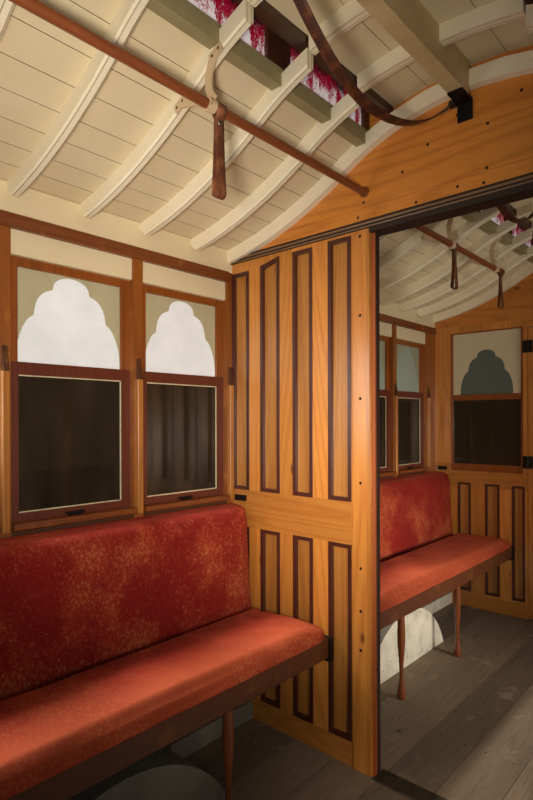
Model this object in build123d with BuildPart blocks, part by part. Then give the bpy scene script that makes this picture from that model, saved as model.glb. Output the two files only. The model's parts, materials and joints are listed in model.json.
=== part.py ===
from build123d import *
import os
from math import pi, radians, sqrt, tan

os.makedirs("parts", exist_ok=True)

# One side and the aisle of a wooden tram's saloon, at the bulkhead between its two compartments.
# X runs across the car from its centre line, with the side wall at -X. Y runs along the car from the
# near face of the bulkhead to the end wall at +Y. Z runs up from the underside of the underframe.
# Sizes are in millimetres. Heights named *_h are over the floor.

# Body shell
half_width = 1000.0
wall_t = 70.0
near_length = 1435.0
bulkhead_t = 45.0
far_length = 1869.0
end_wall_t = 45.0
doorway_half = 329.0
door_post_w = 60.0

# Underframe and floor
sill_w = 100.0
sill_deep = 100.0
bearer_w = 90.0
bearer_reach = 372.5
outer_bearer_reach = 1307.5
frame_bolt_r = 9.0
frame_bolt_spacing = 600.0
floor_t = 25.0
board_count = 8
board_gap = 1.5
threshold_t = 5.0

# Wheel boxes
wheel_box_reach = 839.5
wheel_box_r = 430.0
wheel_box_h = 270.0
wheel_box_t = 15.0
near_box_front = 579.0
far_box_front = 648.0

# Side wall, from the floor up
sill_bottom_h = 881.0
sill_t = 22.0
sill_nose = 20.0
lower_sash_deep = 488.0
upper_sash_deep = 321.0
head_panel_deep = 75.0
cant_deep = 42.0
cant_proud = 8.0
post_w = 40.0
near_bay = 470.0
corner_w = 32.0
far_corner_w = 126.0
sash_t = 28.0
upper_sash_recess = 28.0
lower_sash_recess = 22.0
head_recess = 10.0
stile_w = 32.0
upper_rail_w = 28.0
lower_top_rail_w = 39.0
lower_bottom_rail_w = 25.0
glass_t = 4.0
fit_gap = 0.5
stop_w = 24.0
stop_proud = 15.0
stop_below_join = 34.0
stop_bracket_h = 76.0
skirting_x = 905.0
skirting_t = 20.0
skirting_h = 70.0
moulding_proud = 12.0
moulding_h = 26.0

# Roof: a crown arc, then a reverse curve down to the wall, on the underside of the ribs
crown_rise = 361.0
crown_r = 815.0
crown_join = 420.0
cove_r = 1543.0
rib_deep = 50.0
rib_w = 28.0
rib_pitch = 235.0
rib_first = 212.0
rib_end_x = 241.0
rib_chamfer = 7.0
rib_toe = 26.0
plank_t = 15.0
plank_gap = 1.5
planks_across = 9
skin_t = 6.0
eaves = 15.0

# Monitor: the raised middle of the roof, with coloured lights along both sides
deck_x = 366.0
deck_sill_w = 36.0
deck_sill_drop = 50.0
deck_sill_deep = 48.0
deck_glass_deep = 112.0
deck_glass_x = 344.0
deck_mullion_w = 96.0
deck_mullion_t = 26.0
deck_jamb_w = 37.0
edge_rail_w = 34.0
edge_rail_rise = 25.0
upper_x = 241.0
upper_camber_r = 1117.0
upper_crown_rise = 30.0
upper_rib_deep = 45.0
upper_rib_end_x = 235.0
purlin_w = 45.0
purlin_drop = 55.0
monitor_rise = 160.0
monitor_drop = 30.0
monitor_half = 400.0
monitor_t = 22.0

# Bulkhead and end wall joinery
bottom_rail_h = 87.0
mid_rail_low_h = 774.0
mid_rail_high_h = 925.0
doorway_over_cant = 59.0
head_rail_deep = 45.0
frame_over_doorway = 18.0
head_rail_proud = 10.0
header_line_rise = 46.0
header_groove = 3.0
panel_t = 21.0
bead_w = 14.0
bead_proud = 3.0
jamb_strip_t = 12.0
jamb_strip_w = 30.0
end_top_over_cant = 36.0
end_head_deep = 48.0
end_door_hinge_x = 409.0
end_dado_top_h = 804.0
end_dado_bottom_h = 100.0
end_window_bottom_h = 880.0
end_window_head = 42.0
end_glass_bottom_h = 926.0
end_meeting_low_h = 1338.0
end_meeting_high_h = 1375.0

# End door
door_t = 35.0
door_hinge_gap = 3.0
door_lead_gap = 8.0
door_top_gap = 6.0
door_floor_gap = 8.0
door_stile_w = 96.0
door_top_rail_w = 90.0
hinge_pin_r = 4.0
hinge_knuckle_r = 8.0
hinge_len = 75.0
low_hinge_rise = 27.0
high_hinge_drop = 120.0
hinge_leaf_w = 28.0
hinge_leaf_t = 3.0

# Benches
bench_front = 493.0
bench_rail_t = 40.0
bench_rail_low_h = 363.0
bench_rail_high_h = 432.0
seat_board_t = 25.0
batten_w = 40.0
bench_end_gap = 22.0
cushion_top_h = 480.0
cushion_front = 478.0
cushion_round = 22.0
cushion_end_gap = 6.0
back_foot_x = 858.0
back_head_x = 880.0
back_below_sill = 3.0
back_round = 73.0
soft_gap = 2.0
leg_inset = 19.0
leg_pitch = 585.0

# Hand poles, their brackets and the strap hangers
pole_x = 352.0
pole_r = 12.5
pole_flange_r = 18.0
pole_flange_t = 6.0
near_pole_drop = 200.0
far_pole_drop = 215.0
far_pole_length = 1285.0
ring_t = 4.5
ring_w = 24.0
running_gap = 0.4
arm_t = 6.0
arm_w = 22.0
strap_t = 4.0
strap_w = 30.0
strap_neck = 26.0
strap_loop_r = 12.0
strap_rib_gap = 4.0

# Bell straps of leather, slack between irons on the purlins
bell_strap_r = 9.0
ferrule_r = 11.0
ferrule_len = 16.0
lug_rise = 20.0

# Wall irons
iron_t = 6.0
iron_reach = 77.0
iron_drop = 60.0
corner_iron_t = 12.0
shoe_lip = 8.0
shoe_foot = 14.0

# Places that follow from the sizes above
floor_z = sill_deep + floor_t
sill_top_h = sill_bottom_h + sill_t
sash_join_h = sill_top_h + lower_sash_deep
sash_top_h = sash_join_h + upper_sash_deep
cant_bottom_h = sash_top_h + head_panel_deep
cant_top_h = cant_bottom_h + cant_deep
stop_top_h = sash_join_h - stop_below_join
back_top_h = sill_bottom_h - back_below_sill
crown_h = cant_top_h + crown_rise
deck_sill_bottom_h = crown_h - deck_sill_drop
deck_glass_bottom_h = deck_sill_bottom_h + deck_sill_deep
deck_glass_top_h = deck_glass_bottom_h + deck_glass_deep
edge_rail_bottom_h = crown_h + edge_rail_rise
upper_crown_h = crown_h + upper_crown_rise
purlin_bottom_h = upper_crown_h - purlin_drop
monitor_crown_h = crown_h + monitor_rise
doorway_h = cant_bottom_h + doorway_over_cant
frame_top_h = doorway_h + frame_over_doorway
head_rail_top_h = doorway_h + head_rail_deep
header_line_h = head_rail_top_h + header_line_rise
end_top_h = cant_bottom_h + end_top_over_cant
end_head_h = end_top_h - end_head_deep
end_window_top_h = end_top_h - end_window_head
near_pole_h = crown_h - near_pole_drop
far_pole_h = crown_h - far_pole_drop
wall_face = -half_width
wall_out = -half_width - wall_t
aisle_edge = doorway_half + door_post_w
near_y = -near_length
end_y = bulkhead_t + far_length
out_y = end_y + end_wall_t
mid_y = bulkhead_t / 2
far_bay = (far_length - corner_w - far_corner_w + post_w) / 4
far_first = bulkhead_t + corner_w - post_w / 2


def up(height):
    """The level of a height over the floor."""
    return floor_z + height


crown_sin = crown_join / crown_r
crown_cos = sqrt(1 - crown_sin ** 2)
crown_z = up(crown_h) - crown_r
cove_x = (crown_r + cove_r) * crown_sin
cove_z = crown_z + (crown_r + cove_r) * crown_cos

# The side wall's posts as (middle, width), and the clear bays between them as (from, to)
posts = [(near_y + post_w / 2, post_w), (-2 * near_bay, post_w), (-near_bay, post_w)]
posts += [(mid_y, bulkhead_t + 2 * corner_w)]
posts += [(far_first + n * far_bay, post_w) for n in (1, 2, 3)]
posts += [((end_y - far_corner_w + out_y) / 2, far_corner_w + end_wall_t)]
bays = [(a + w / 2, b - v / 2) for (a, w), (b, v) in zip(posts, posts[1:])]

# Middles of the ribs along the car, and the trim ribs against the bulkhead and the end wall
near_count = 1 + int((near_length - rib_first - rib_w / 2) // rib_pitch)
far_count = 1 + int((far_length - rib_first - rib_w / 2) // rib_pitch)
near_ribs = [-rib_first - n * rib_pitch for n in range(near_count)]
far_ribs = [bulkhead_t + rib_first + n * rib_pitch for n in range(far_count)]
trim_ribs = [-rib_w / 2, bulkhead_t + rib_w / 2, end_y - rib_w / 2]

# Joints of the ceiling planks across the car, from the eaves to the aisle side
plank_step = (-wall_out - deck_x) / planks_across
plank_x = [wall_out + n * plank_step for n in range(planks_across)] + [-deck_x]
plank_x += [-(deck_x + rib_end_x) / 2, -rib_end_x, -rib_end_x / 2, 0.0]
plank_x += [rib_end_x / 2, rib_end_x, deck_x, aisle_edge]


def arch_z(x, lift=0.0):
    """Level of the roof's inner curve at x, or of the curve that lies lift outside it."""
    x = abs(x)
    if x <= (crown_r + lift) * crown_sin:
        return crown_z + sqrt((crown_r + lift) ** 2 - x ** 2)
    return cove_z - sqrt((cove_r - lift) ** 2 - (cove_x - x) ** 2)


def plank_z(x):
    """Level of the planks' underside at x, straight from one joint to the next."""
    for a, b in zip(plank_x, plank_x[1:]):
        if a <= x <= b:
            share = (x - a) / (b - a)
            return arch_z(a, rib_deep) * (1 - share) + arch_z(b, rib_deep) * share


def plank_line(start, stop):
    """Corners of the planks' underside from start to stop, with both ends."""
    inner = [x for x in plank_x if start < x < stop]
    return [(x, plank_z(x)) for x in (start, *inner, stop)]


def upper_z(x, lift=0.0):
    """Level of the upper deck's cambered curve at x, raised by lift."""
    return up(upper_crown_h) - upper_camber_r + sqrt(upper_camber_r ** 2 - x ** 2) + lift


def upper_line(start, stop, lift):
    """Corners of the upper planks' underside from start to stop, raised by lift."""
    joints = [n * upper_x / 2 for n in (-2, -1, 0, 1, 2)]
    inner = [x for x in joints if start < x < stop]
    points = []
    for x in (start, *inner, stop):
        a = max(j for j in joints[:-1] if j <= x)
        b = a + upper_x / 2
        share = (x - a) / (b - a)
        points.append((x, upper_z(a, lift) * (1 - share) + upper_z(b, lift) * share))
    return points


def monitor_z(x):
    """Level of the monitor roof's underside at x, straight from eaves to ridge."""
    return up(monitor_crown_h) - monitor_drop * abs(x) / monitor_half


def bar(x, y, z):
    """A squared piece that fills three spans, each given as (from, to)."""
    with Locations(((x[0] + x[1]) / 2, (y[0] + y[1]) / 2, (z[0] + z[1]) / 2)):
        Box(x[1] - x[0], y[1] - y[0], z[1] - z[0])


def cut(x, y, z):
    """The same piece, taken away."""
    with Locations(((x[0] + x[1]) / 2, (y[0] + y[1]) / 2, (z[0] + z[1]) / 2)):
        Box(x[1] - x[0], y[1] - y[0], z[1] - z[0], mode=Mode.SUBTRACT)


def across(points, y, mode=Mode.ADD):
    """A straight-sided outline in the X-Z plane, drawn out along the car over the span y."""
    with BuildSketch(Plane.XZ.offset(-y[0])) as outline:
        with BuildLine():
            Polyline(*points, close=True)
        make_face()
    extrude(outline.sketch, amount=y[0] - y[1], mode=mode)


def arch_piece(start, stop, y, toe=0.0):
    """A piece under the planks with the roof's curve below, from start to stop across the car."""
    with BuildSketch(Plane.XZ.offset(-y[0])) as outline:
        with BuildLine():
            foot = start + toe
            joins = [x for x in (-crown_join,) if foot < x < stop]
            stops = [foot, *joins, stop]
            for a, b in zip(stops, stops[1:]):
                middle = (a + b) / 2
                ThreePointArc((a, arch_z(a)), (middle, arch_z(middle)), (b, arch_z(b)))
            top = plank_line(start, stop)
            end = [(start, arch_z(foot) + toe), (foot, arch_z(foot))] if toe else [(foot, arch_z(foot))]
            Polyline((stop, arch_z(stop)), *reversed(top), *end)
        make_face()
    extrude(outline.sketch, amount=y[0] - y[1])


def mirrored(x):
    """A span on the left of the centre line and its twin on the right."""
    return [(-x[1], -x[0]), (x[0], x[1])]


def keep(piece, name):
    """Names a finished piece and writes it out."""
    piece.part.label = name
    export_step(piece.part, f"parts/{name}.step")


# Underframe: two long sills joined by cross bearers, which carry the bolt holes
with BuildPart() as long_sills:
    bar((wall_out, wall_out + sill_w), (near_y, out_y), (0, sill_deep))
    bar((aisle_edge - sill_w, aisle_edge), (near_y, out_y), (0, sill_deep))
keep(long_sills, "long_sills")

bearer_span = (wall_out + sill_w, aisle_edge - sill_w)
bearer_x = sum(bearer_span) / 2
bearers = [near_y + bearer_w / 2, mid_y - bearer_reach, 0.0, mid_y + bearer_reach]
bearers += [mid_y + outer_bearer_reach, out_y - bearer_w / 2]
with BuildPart() as cross_bearers:
    for y in bearers:
        bar(bearer_span, (y - bearer_w / 2, y + bearer_w / 2), (0, sill_deep))
    for y in (mid_y - bearer_reach, mid_y + bearer_reach):
        with Locations((bearer_x - frame_bolt_spacing / 2, y), (bearer_x + frame_bolt_spacing / 2, y)):
            Cylinder(frame_bolt_r, 3 * sill_deep, mode=Mode.SUBTRACT)
keep(cross_bearers, "cross_bearers")

# Wheel boxes as (middle along the car, front face), arched over the wheels and open below
wheel_boxes = [(mid_y - wheel_box_reach, -near_box_front), (mid_y + wheel_box_reach, -far_box_front)]
wheel_arc_z = up(wheel_box_h) - wheel_box_r


def wheel_arch(y, radius, start, stop, mode=Mode.ADD):
    """A round-topped block on the floor, drawn out across the car from start to stop."""
    half = sqrt(radius ** 2 - (floor_z - wheel_arc_z) ** 2)
    with BuildSketch(Plane.YZ.offset(start)) as outline:
        with BuildLine():
            ThreePointArc((y - half, floor_z), (y, wheel_arc_z + radius), (y + half, floor_z))
            Line((y + half, floor_z), (y - half, floor_z))
        make_face()
    extrude(outline.sketch, amount=stop - start, mode=mode)


with BuildPart() as wheel_box:
    for y, front in wheel_boxes:
        wheel_arch(y, wheel_box_r, wall_face, front)
        wheel_arch(y, wheel_box_r - wheel_box_t, wall_face, front - wheel_box_t, Mode.SUBTRACT)
keep(wheel_box, "wheel_boxes")

# Floor boards along the car, cut away under the wheel boxes
board_step = (aisle_edge - wall_face) / board_count
well_half = sqrt((wheel_box_r - wheel_box_t) ** 2 - (floor_z - wheel_arc_z) ** 2)
with BuildPart() as floor_boards:
    for n in range(board_count):
        left = wall_face + n * board_step
        bar((left, left + board_step - board_gap), (near_y, out_y), (sill_deep, floor_z))
    for y, front in wheel_boxes:
        cut((wall_out + sill_w, front - wheel_box_t), (y - well_half, y + well_half), (sill_deep, floor_z))
keep(floor_boards, "floor_boards")

with BuildPart() as threshold:
    strip = doorway_half - jamb_strip_t
    across([(-strip, floor_z), (strip, floor_z), (strip, floor_z + threshold_t),
            (-strip, floor_z + threshold_t)], (-bead_w, bulkhead_t + bead_w))
    top_edges = threshold.edges().group_by(Axis.Z)[-1].filter_by(Axis.X)
    chamfer(top_edges, threshold_t * 0.6)
keep(threshold, "threshold_strip")

# Side wall: posts from the sill to the cant rail, with whole-thickness panels between them
with BuildPart() as wall_posts:
    for y, width in posts:
        bar((wall_out, wall_face), (y - width / 2, y + width / 2), (sill_deep, up(cant_bottom_h)))
keep(wall_posts, "wall_posts")

with BuildPart() as wall_panels:
    for bay in bays:
        bar((wall_out, wall_face), bay, (sill_deep, up(sill_bottom_h)))
keep(wall_panels, "wall_lower_panels")

with BuildPart() as window_sills:
    for bay in bays:
        bar((wall_out, wall_face + sill_nose), bay, (up(sill_bottom_h), up(sill_top_h)))
    nose = window_sills.edges().filter_by(Axis.Y).group_by(Axis.X)[-1]
    fillet(nose, 6.0)
keep(window_sills, "window_sills")

with BuildPart() as head_panels:
    for bay in bays:
        bar((wall_out, wall_face - head_recess), bay, (up(sash_top_h), up(cant_bottom_h)))
keep(head_panels, "head_panels")

with BuildPart() as cant_rail:
    bar((wall_out, wall_face + cant_proud), (near_y, -rib_w), (up(cant_bottom_h), up(cant_top_h)))
    bar((wall_out, wall_face), (-rib_w, bulkhead_t + rib_w), (up(cant_bottom_h), up(cant_top_h)))
    bar((wall_out, wall_face + cant_proud), (bulkhead_t + rib_w, end_y), (up(cant_bottom_h), up(cant_top_h)))
    bar((wall_out, wall_face), (end_y, out_y), (up(cant_bottom_h), up(cant_top_h)))
keep(cant_rail, "cant_rail")

with BuildPart() as cornice:
    across([(wall_out, up(cant_top_h)), (wall_face, up(cant_top_h)), (wall_face, plank_z(wall_face)),
            (wall_out, plank_z(wall_out))], (near_y, out_y))
keep(cornice, "cornice_board")

# Fixed upper sashes and dropping lower sashes, with a light of glass in each
upper_x_span = (wall_face - upper_sash_recess - sash_t, wall_face - upper_sash_recess)
lower_x_span = (wall_face - lower_sash_recess - sash_t, wall_face - lower_sash_recess)
upper_glass_x = sum(upper_x_span) / 2
lower_glass_x = sum(lower_x_span) / 2


def inset(bay, amount):
    """A bay's span, drawn in by amount at both ends."""
    return (bay[0] + amount, bay[1] - amount)


with BuildPart() as upper_sashes:
    for bay in bays:
        bar(upper_x_span, inset(bay, fit_gap), (up(sash_join_h), up(sash_top_h)))
        cut(upper_x_span, inset(bay, stile_w), (up(sash_join_h), up(sash_top_h) - upper_rail_w))
keep(upper_sashes, "upper_sashes")

with BuildPart() as lower_sashes:
    for bay in bays:
        bar(lower_x_span, inset(bay, fit_gap), (up(sill_top_h), up(sash_join_h)))
        cut(lower_x_span, inset(bay, stile_w),
            (up(sill_top_h) + lower_bottom_rail_w, up(sash_join_h) - lower_top_rail_w))
keep(lower_sashes, "lower_sashes")

end_glass_y = end_y + end_wall_t / 2
end_window = (-895.0, -435.0)
end_stile_w = 15.0
with BuildPart() as upper_lights:
    for bay in bays:
        bar((upper_glass_x - glass_t / 2, upper_glass_x + glass_t / 2), inset(bay, stile_w),
            (up(sash_join_h), up(sash_top_h) - upper_rail_w))
    bar(inset(end_window, end_stile_w), (end_glass_y - glass_t / 2, end_glass_y + glass_t / 2),
        (up(end_meeting_high_h), up(end_window_top_h) - end_stile_w / 2))
keep(upper_lights, "upper_lights")

with BuildPart() as lower_lights:
    for bay in bays:
        bar((lower_glass_x - glass_t / 2, lower_glass_x + glass_t / 2), inset(bay, stile_w),
            (up(sill_top_h) + lower_bottom_rail_w, up(sash_join_h) - lower_top_rail_w))
    bar(inset(end_window, end_stile_w), (end_glass_y - glass_t / 2, end_glass_y + glass_t / 2),
        (up(end_glass_bottom_h), up(end_meeting_low_h)))
keep(lower_lights, "lower_lights")

# Stop strips on the posts, which hold the lower sashes, each with a curved block on its top
stops = [y for y, width in posts if width == post_w]
stops += [-corner_w / 2, bulkhead_t + corner_w / 2, end_y - far_corner_w + corner_w / 2]
with BuildPart() as sash_stops:
    for y in stops:
        bar((wall_face, wall_face + stop_proud), (y - stop_w / 2, y + stop_w / 2),
            (up(sill_bottom_h), up(stop_top_h)))
    fillet(sash_stops.edges().filter_by(Axis.Z).group_by(Axis.X)[-1], 4.0)
keep(sash_stops, "sash_stops")

with BuildPart() as stop_brackets:
    for y in stops:
        base = up(stop_top_h)
        tip = base + stop_bracket_h
        with BuildSketch(Plane.XZ.offset(stop_w / 3 - y)) as outline:
            with BuildLine():
                Line((wall_face, base), (wall_face + stop_proud + 3, base))
                ThreePointArc((wall_face + stop_proud + 3, base),
                              (wall_face + stop_proud * 0.75, base + stop_bracket_h * 0.6),
                              (wall_face + 4, tip))
                Polyline((wall_face + 4, tip), (wall_face, tip), (wall_face, base))
            make_face()
        extrude(outline.sketch, amount=-stop_w * 2 / 3)
keep(stop_brackets, "stop_brackets")

with BuildPart() as sash_lifts:
    lift_z = up(sill_top_h)
    for bay in bays:
        y = (bay[0] + bay[1]) / 2
        bar((wall_face - lower_sash_recess, wall_face - lower_sash_recess + 12), (y - 32, y + 32),
            (lift_z + 6, lift_z + 12))
        bar((wall_face - lower_sash_recess, wall_face - 4), (y - 22, y + 22), (lift_z, lift_z + 4))
keep(sash_lifts, "sash_lifts")

with BuildPart() as mouldings:
    for low in (sill_deep, up(sill_bottom_h) - moulding_h / 2, up(cant_bottom_h)):
        bar((wall_out - moulding_proud, wall_out), (near_y, out_y), (low, low + moulding_h))
    edges = mouldings.edges().filter_by(Axis.Y).group_by(Axis.X)[0]
    fillet(edges, moulding_proud * 0.6)
keep(mouldings, "outside_mouldings")

# Skirting boards along the foot of the wall, between the wheel boxes
box_half = sqrt(wheel_box_r ** 2 - (floor_z - wheel_arc_z) ** 2)
(near_box, _), (far_box, _) = wheel_boxes
with BuildPart() as skirting:
    for y in ((near_y, near_box - box_half), (near_box + box_half, 0), (bulkhead_t, far_box - box_half),
              (far_box + box_half, end_y)):
        bar((-skirting_x, -skirting_x + skirting_t), inset(y, soft_gap / 2), (floor_z, up(skirting_h)))
keep(skirting, "skirting_boards")

# Roof ribs: bent ash bars with chamfered lower edges, from the wall to just past the deck sill
with BuildPart() as one_rib:
    arch_piece(wall_face, -rib_end_x, (-rib_w / 2, rib_w / 2), toe=rib_toe)
    soffits = one_rib.faces().filter_by(GeomType.CYLINDER)
    sides = [e for f in soffits for e in f.edges() if abs(abs(e.center().Y) - rib_w / 2) < 0.1]
    chamfer(sides, rib_chamfer)

with BuildPart() as rib_stub:
    arch_piece(rib_end_x, aisle_edge, (-rib_w / 2, rib_w / 2))

with BuildPart() as roof_ribs:
    with Locations(*[(0, y, 0) for y in near_ribs + far_ribs]):
        add(one_rib.part)
        add(rib_stub.part)
    for y in trim_ribs:
        arch_piece(wall_face, aisle_edge, (y - rib_w / 2, y + rib_w / 2))
keep(roof_ribs, "roof_ribs")

# Planks along the car on both sets of ribs, and the canvas skin over the lower ones
runs = [(near_y, 0.0), (bulkhead_t, end_y)]
upper_joints = [n * upper_x / 2 for n in (-2, -1, 0, 1, 2)]
with BuildPart() as ceiling:
    for a, b in zip(plank_x, plank_x[1:]):
        if b <= -deck_x or a >= deck_x:
            start, stop = a + plank_gap / 2, b - plank_gap / 2
            low, high = plank_z(start), plank_z(stop)
            across([(start, low), (stop, high), (stop, high + plank_t), (start, low + plank_t)],
                   (near_y, out_y))
    for a, b in zip(upper_joints, upper_joints[1:]):
        start, stop = a + plank_gap / 2, b - plank_gap / 2
        (_, low), (_, high) = upper_line(start, stop, upper_rib_deep)
        for run in runs:
            across([(start, low), (stop, high), (stop, high + plank_t), (start, low + plank_t)], run)
keep(ceiling, "ceiling_planks")

with BuildPart() as roof_skin:
    under = [(x, z + plank_t) for x, z in plank_line(wall_out, -deck_x)]
    fall = (under[1][1] - under[0][1]) / (under[1][0] - under[0][0])
    under = [(wall_out - eaves, under[0][1] - fall * eaves), *under]
    across([*under, *[(x, z + skin_t) for x, z in reversed(under)]], (near_y, out_y))
    under = [(x, z + plank_t) for x, z in plank_line(deck_x, aisle_edge)]
    across([*under, *[(x, z + skin_t) for x, z in reversed(under)]], (near_y, out_y))
keep(roof_skin, "roof_canvas")

# Monitor sides: sills notched over the ribs, mullions, glass, and a head rail under the roof
rib_places = near_ribs + far_ribs + trim_ribs
deck_sill_x = (deck_x - deck_sill_w, deck_x)
notch_top = arch_z(deck_sill_x[0], rib_deep) + fit_gap
with BuildPart() as deck_sills:
    for side in mirrored(deck_sill_x):
        for run in runs:
            bar(side, run, (up(deck_sill_bottom_h), up(deck_glass_bottom_h)))
        for y in rib_places:
            cut(side, (y - rib_w / 2, y + rib_w / 2), (up(deck_sill_bottom_h), notch_top))
keep(deck_sills, "deck_sills")

deck_posts = [(near_y, near_y + post_w / 2 + deck_mullion_w / 2)]
deck_posts += [(n * near_bay - deck_mullion_w / 2, n * near_bay + deck_mullion_w / 2) for n in (-2, -1)]
deck_posts += [(-deck_jamb_w, 0.0), (bulkhead_t, bulkhead_t + deck_jamb_w)]
deck_posts += [(y - deck_mullion_w / 2, y + deck_mullion_w / 2)
               for y in [far_first + n * far_bay for n in (1, 2, 3)]]
deck_posts += [(far_first + 4 * far_bay - deck_mullion_w / 2, end_y)]
mullion_x = (deck_glass_x - deck_mullion_t / 2, deck_glass_x + deck_mullion_t / 2)
with BuildPart() as deck_mullions:
    for side in mirrored(mullion_x):
        for y in deck_posts:
            bar(side, y, (up(deck_glass_bottom_h), up(deck_glass_top_h)))
keep(deck_mullions, "deck_mullions")

with BuildPart() as deck_lights:
    for side in mirrored((deck_glass_x - glass_t / 2, deck_glass_x + glass_t / 2)):
        for (_, a), (b, _) in zip(deck_posts, deck_posts[1:]):
            if b - a > bulkhead_t:
                bar(side, (a, b), (up(deck_glass_bottom_h), up(deck_glass_top_h)))
keep(deck_lights, "deck_lights")


def under_roof(side, bottom, run):
    """A rail that hangs from the monitor's roof down to the level bottom."""
    across([(side[0], bottom), (side[1], bottom), (side[1], monitor_z(side[1])),
            (side[0], monitor_z(side[0]))], run)


with BuildPart() as monitor_rails:
    for run in runs:
        for side in mirrored(deck_sill_x):
            under_roof(side, up(deck_glass_top_h), run)
        for side in mirrored((upper_x, upper_x + edge_rail_w)):
            under_roof(side, up(edge_rail_bottom_h), run)
keep(monitor_rails, "monitor_rails")

# Upper deck: short cambered ribs on a purlin under the middle
half_purlin = purlin_w / 2
with BuildPart() as purlins:
    for run in ((near_y, -rib_w), (bulkhead_t + rib_w, end_y - rib_w)):
        top = upper_line(-half_purlin, half_purlin, upper_rib_deep)
        across([(-half_purlin, up(purlin_bottom_h)), (half_purlin, up(purlin_bottom_h)), *reversed(top)], run)
keep(purlins, "purlins")

with BuildPart() as upper_rib:
    with BuildSketch(Plane.XZ.offset(-rib_w / 2)) as upper_rib_outline:
        with BuildLine():
            middle = -(upper_rib_end_x + half_purlin) / 2
            ThreePointArc((-upper_rib_end_x, upper_z(upper_rib_end_x)), (middle, upper_z(middle)),
                          (-half_purlin, upper_z(half_purlin)))
            top = upper_line(-upper_rib_end_x, -half_purlin, upper_rib_deep)
            Polyline((-half_purlin, upper_z(half_purlin)), *reversed(top),
                     (-upper_rib_end_x, upper_z(upper_rib_end_x)))
        make_face()
    extrude(amount=rib_w)
    mirror(about=Plane.YZ)

with BuildPart() as upper_ribs:
    with Locations(*[(0, y, 0) for y in near_ribs + far_ribs]):
        add(upper_rib.part)
keep(upper_ribs, "upper_ribs")

with BuildPart() as monitor_roof:
    under = [(x, monitor_z(x)) for x in (-monitor_half, 0.0, aisle_edge)]
    across([*under, *[(x, z + monitor_t) for x, z in reversed(under)]], (near_y, out_y))
keep(monitor_roof, "monitor_roof")

# Bulkhead joinery: panel openings as (left, right, drop at left, drop at right), with the sides from
# the car's centre line and the drops from the doorway's head, more for the two nearest the wall
upper_panels = [(-1000.0, -903.0, 42.0, 42.0), (-839.0, -738.0, 36.0, 14.0),
                (-671.0, -577.0, 14.0, 14.0), (-506.0, -408.0, 10.0, 10.0)]
end_panels = [(-843.0, -757.0), (-665.0, -575.0), (-500.0, -425.0)]


def panel_outline(left, right, bottom, top_left, top_right, trim=0.0):
    """Corners of a panel, drawn in by trim on every side."""
    return [(left + trim, up(bottom) + trim), (right - trim, up(bottom) + trim),
            (right - trim, up(top_right) - trim), (left + trim, up(top_left) - trim)]


bulkhead_openings = []
for left, right, drop_left, drop_right in upper_panels:
    bulkhead_openings.append((left, right, mid_rail_high_h, frame_top_h - drop_left, frame_top_h - drop_right))
    bulkhead_openings.append((left, right, bottom_rail_h, mid_rail_low_h, mid_rail_low_h))
end_openings = [(a, b, end_dado_bottom_h, end_dado_top_h, end_dado_top_h) for a, b in end_panels]

with BuildPart() as bulkhead_frame:
    bar((wall_face, -doorway_half), (0, bulkhead_t), (floor_z, up(frame_top_h)))
    for opening in bulkhead_openings:
        across(panel_outline(*opening), (0, bulkhead_t), Mode.SUBTRACT)
keep(bulkhead_frame, "bulkhead_frame")

# The panels and beads of the bulkhead and of the end wall, which is framed the same way
panel_back = (bulkhead_t - panel_t) / 2
panelled = [(opening, 0.0) for opening in bulkhead_openings] + [(opening, end_y) for opening in end_openings]
with BuildPart() as wall_fill:
    for opening, y in panelled:
        across(panel_outline(*opening), (y + panel_back, y + bulkhead_t - panel_back))
keep(wall_fill, "joinery_panels")

with BuildPart() as wall_beads:
    for opening, y in panelled:
        for face in ((y - bead_proud, y + panel_back),
                     (y + bulkhead_t - panel_back, y + bulkhead_t + bead_proud)):
            across(panel_outline(*opening), face)
            across(panel_outline(*opening, trim=bead_w), face, Mode.SUBTRACT)
keep(wall_beads, "joinery_beads")

with BuildPart() as right_posts:
    bar((doorway_half, aisle_edge), (0, bulkhead_t), (floor_z, up(doorway_h)))
    bar((doorway_half, aisle_edge), (end_y, out_y), (floor_z, up(end_top_h)))
keep(right_posts, "right_posts")

with BuildPart() as jamb_strips:
    for side in mirrored((doorway_half - jamb_strip_t, doorway_half)):
        bar(side, (mid_y - jamb_strip_w / 2, mid_y + jamb_strip_w / 2), (floor_z, up(doorway_h)))
keep(jamb_strips, "jamb_strips")

# Header: a dark rail over the doorway, then the arched board that meets the planks
rail_cut_x = -cove_x + sqrt(cove_r ** 2 - (cove_z - up(head_rail_top_h)) ** 2)
with BuildPart() as head_rail:
    with BuildSketch(Plane.XZ.offset(head_rail_proud)) as rail_outline:
        with BuildLine():
            middle = (wall_face + rail_cut_x) / 2
            ThreePointArc((wall_face, arch_z(wall_face)), (middle, arch_z(middle)),
                          (rail_cut_x, up(head_rail_top_h)))
            Polyline((rail_cut_x, up(head_rail_top_h)), (aisle_edge, up(head_rail_top_h)),
                     (aisle_edge, up(doorway_h)), (-doorway_half, up(doorway_h)), (-doorway_half, up(frame_top_h)),
                     (wall_face, up(frame_top_h)), (wall_face, arch_z(wall_face)))
        make_face()
    extrude(amount=-(bulkhead_t + 2 * head_rail_proud))
keep(head_rail, "head_rail")

with BuildPart() as header_board:
    lower = [(wall_face, arch_z(wall_face)), (rail_cut_x, up(head_rail_top_h)),
             (aisle_edge, up(head_rail_top_h))]
    across([*lower, *reversed(plank_line(wall_face, aisle_edge))], (0, bulkhead_t))
    line = (up(header_line_h) - header_groove / 2, up(header_line_h) + header_groove / 2)
    for face in ((0, header_groove), (bulkhead_t - header_groove, bulkhead_t)):
        cut((wall_face, aisle_edge), face, line)
keep(header_board, "header_board")

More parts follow.
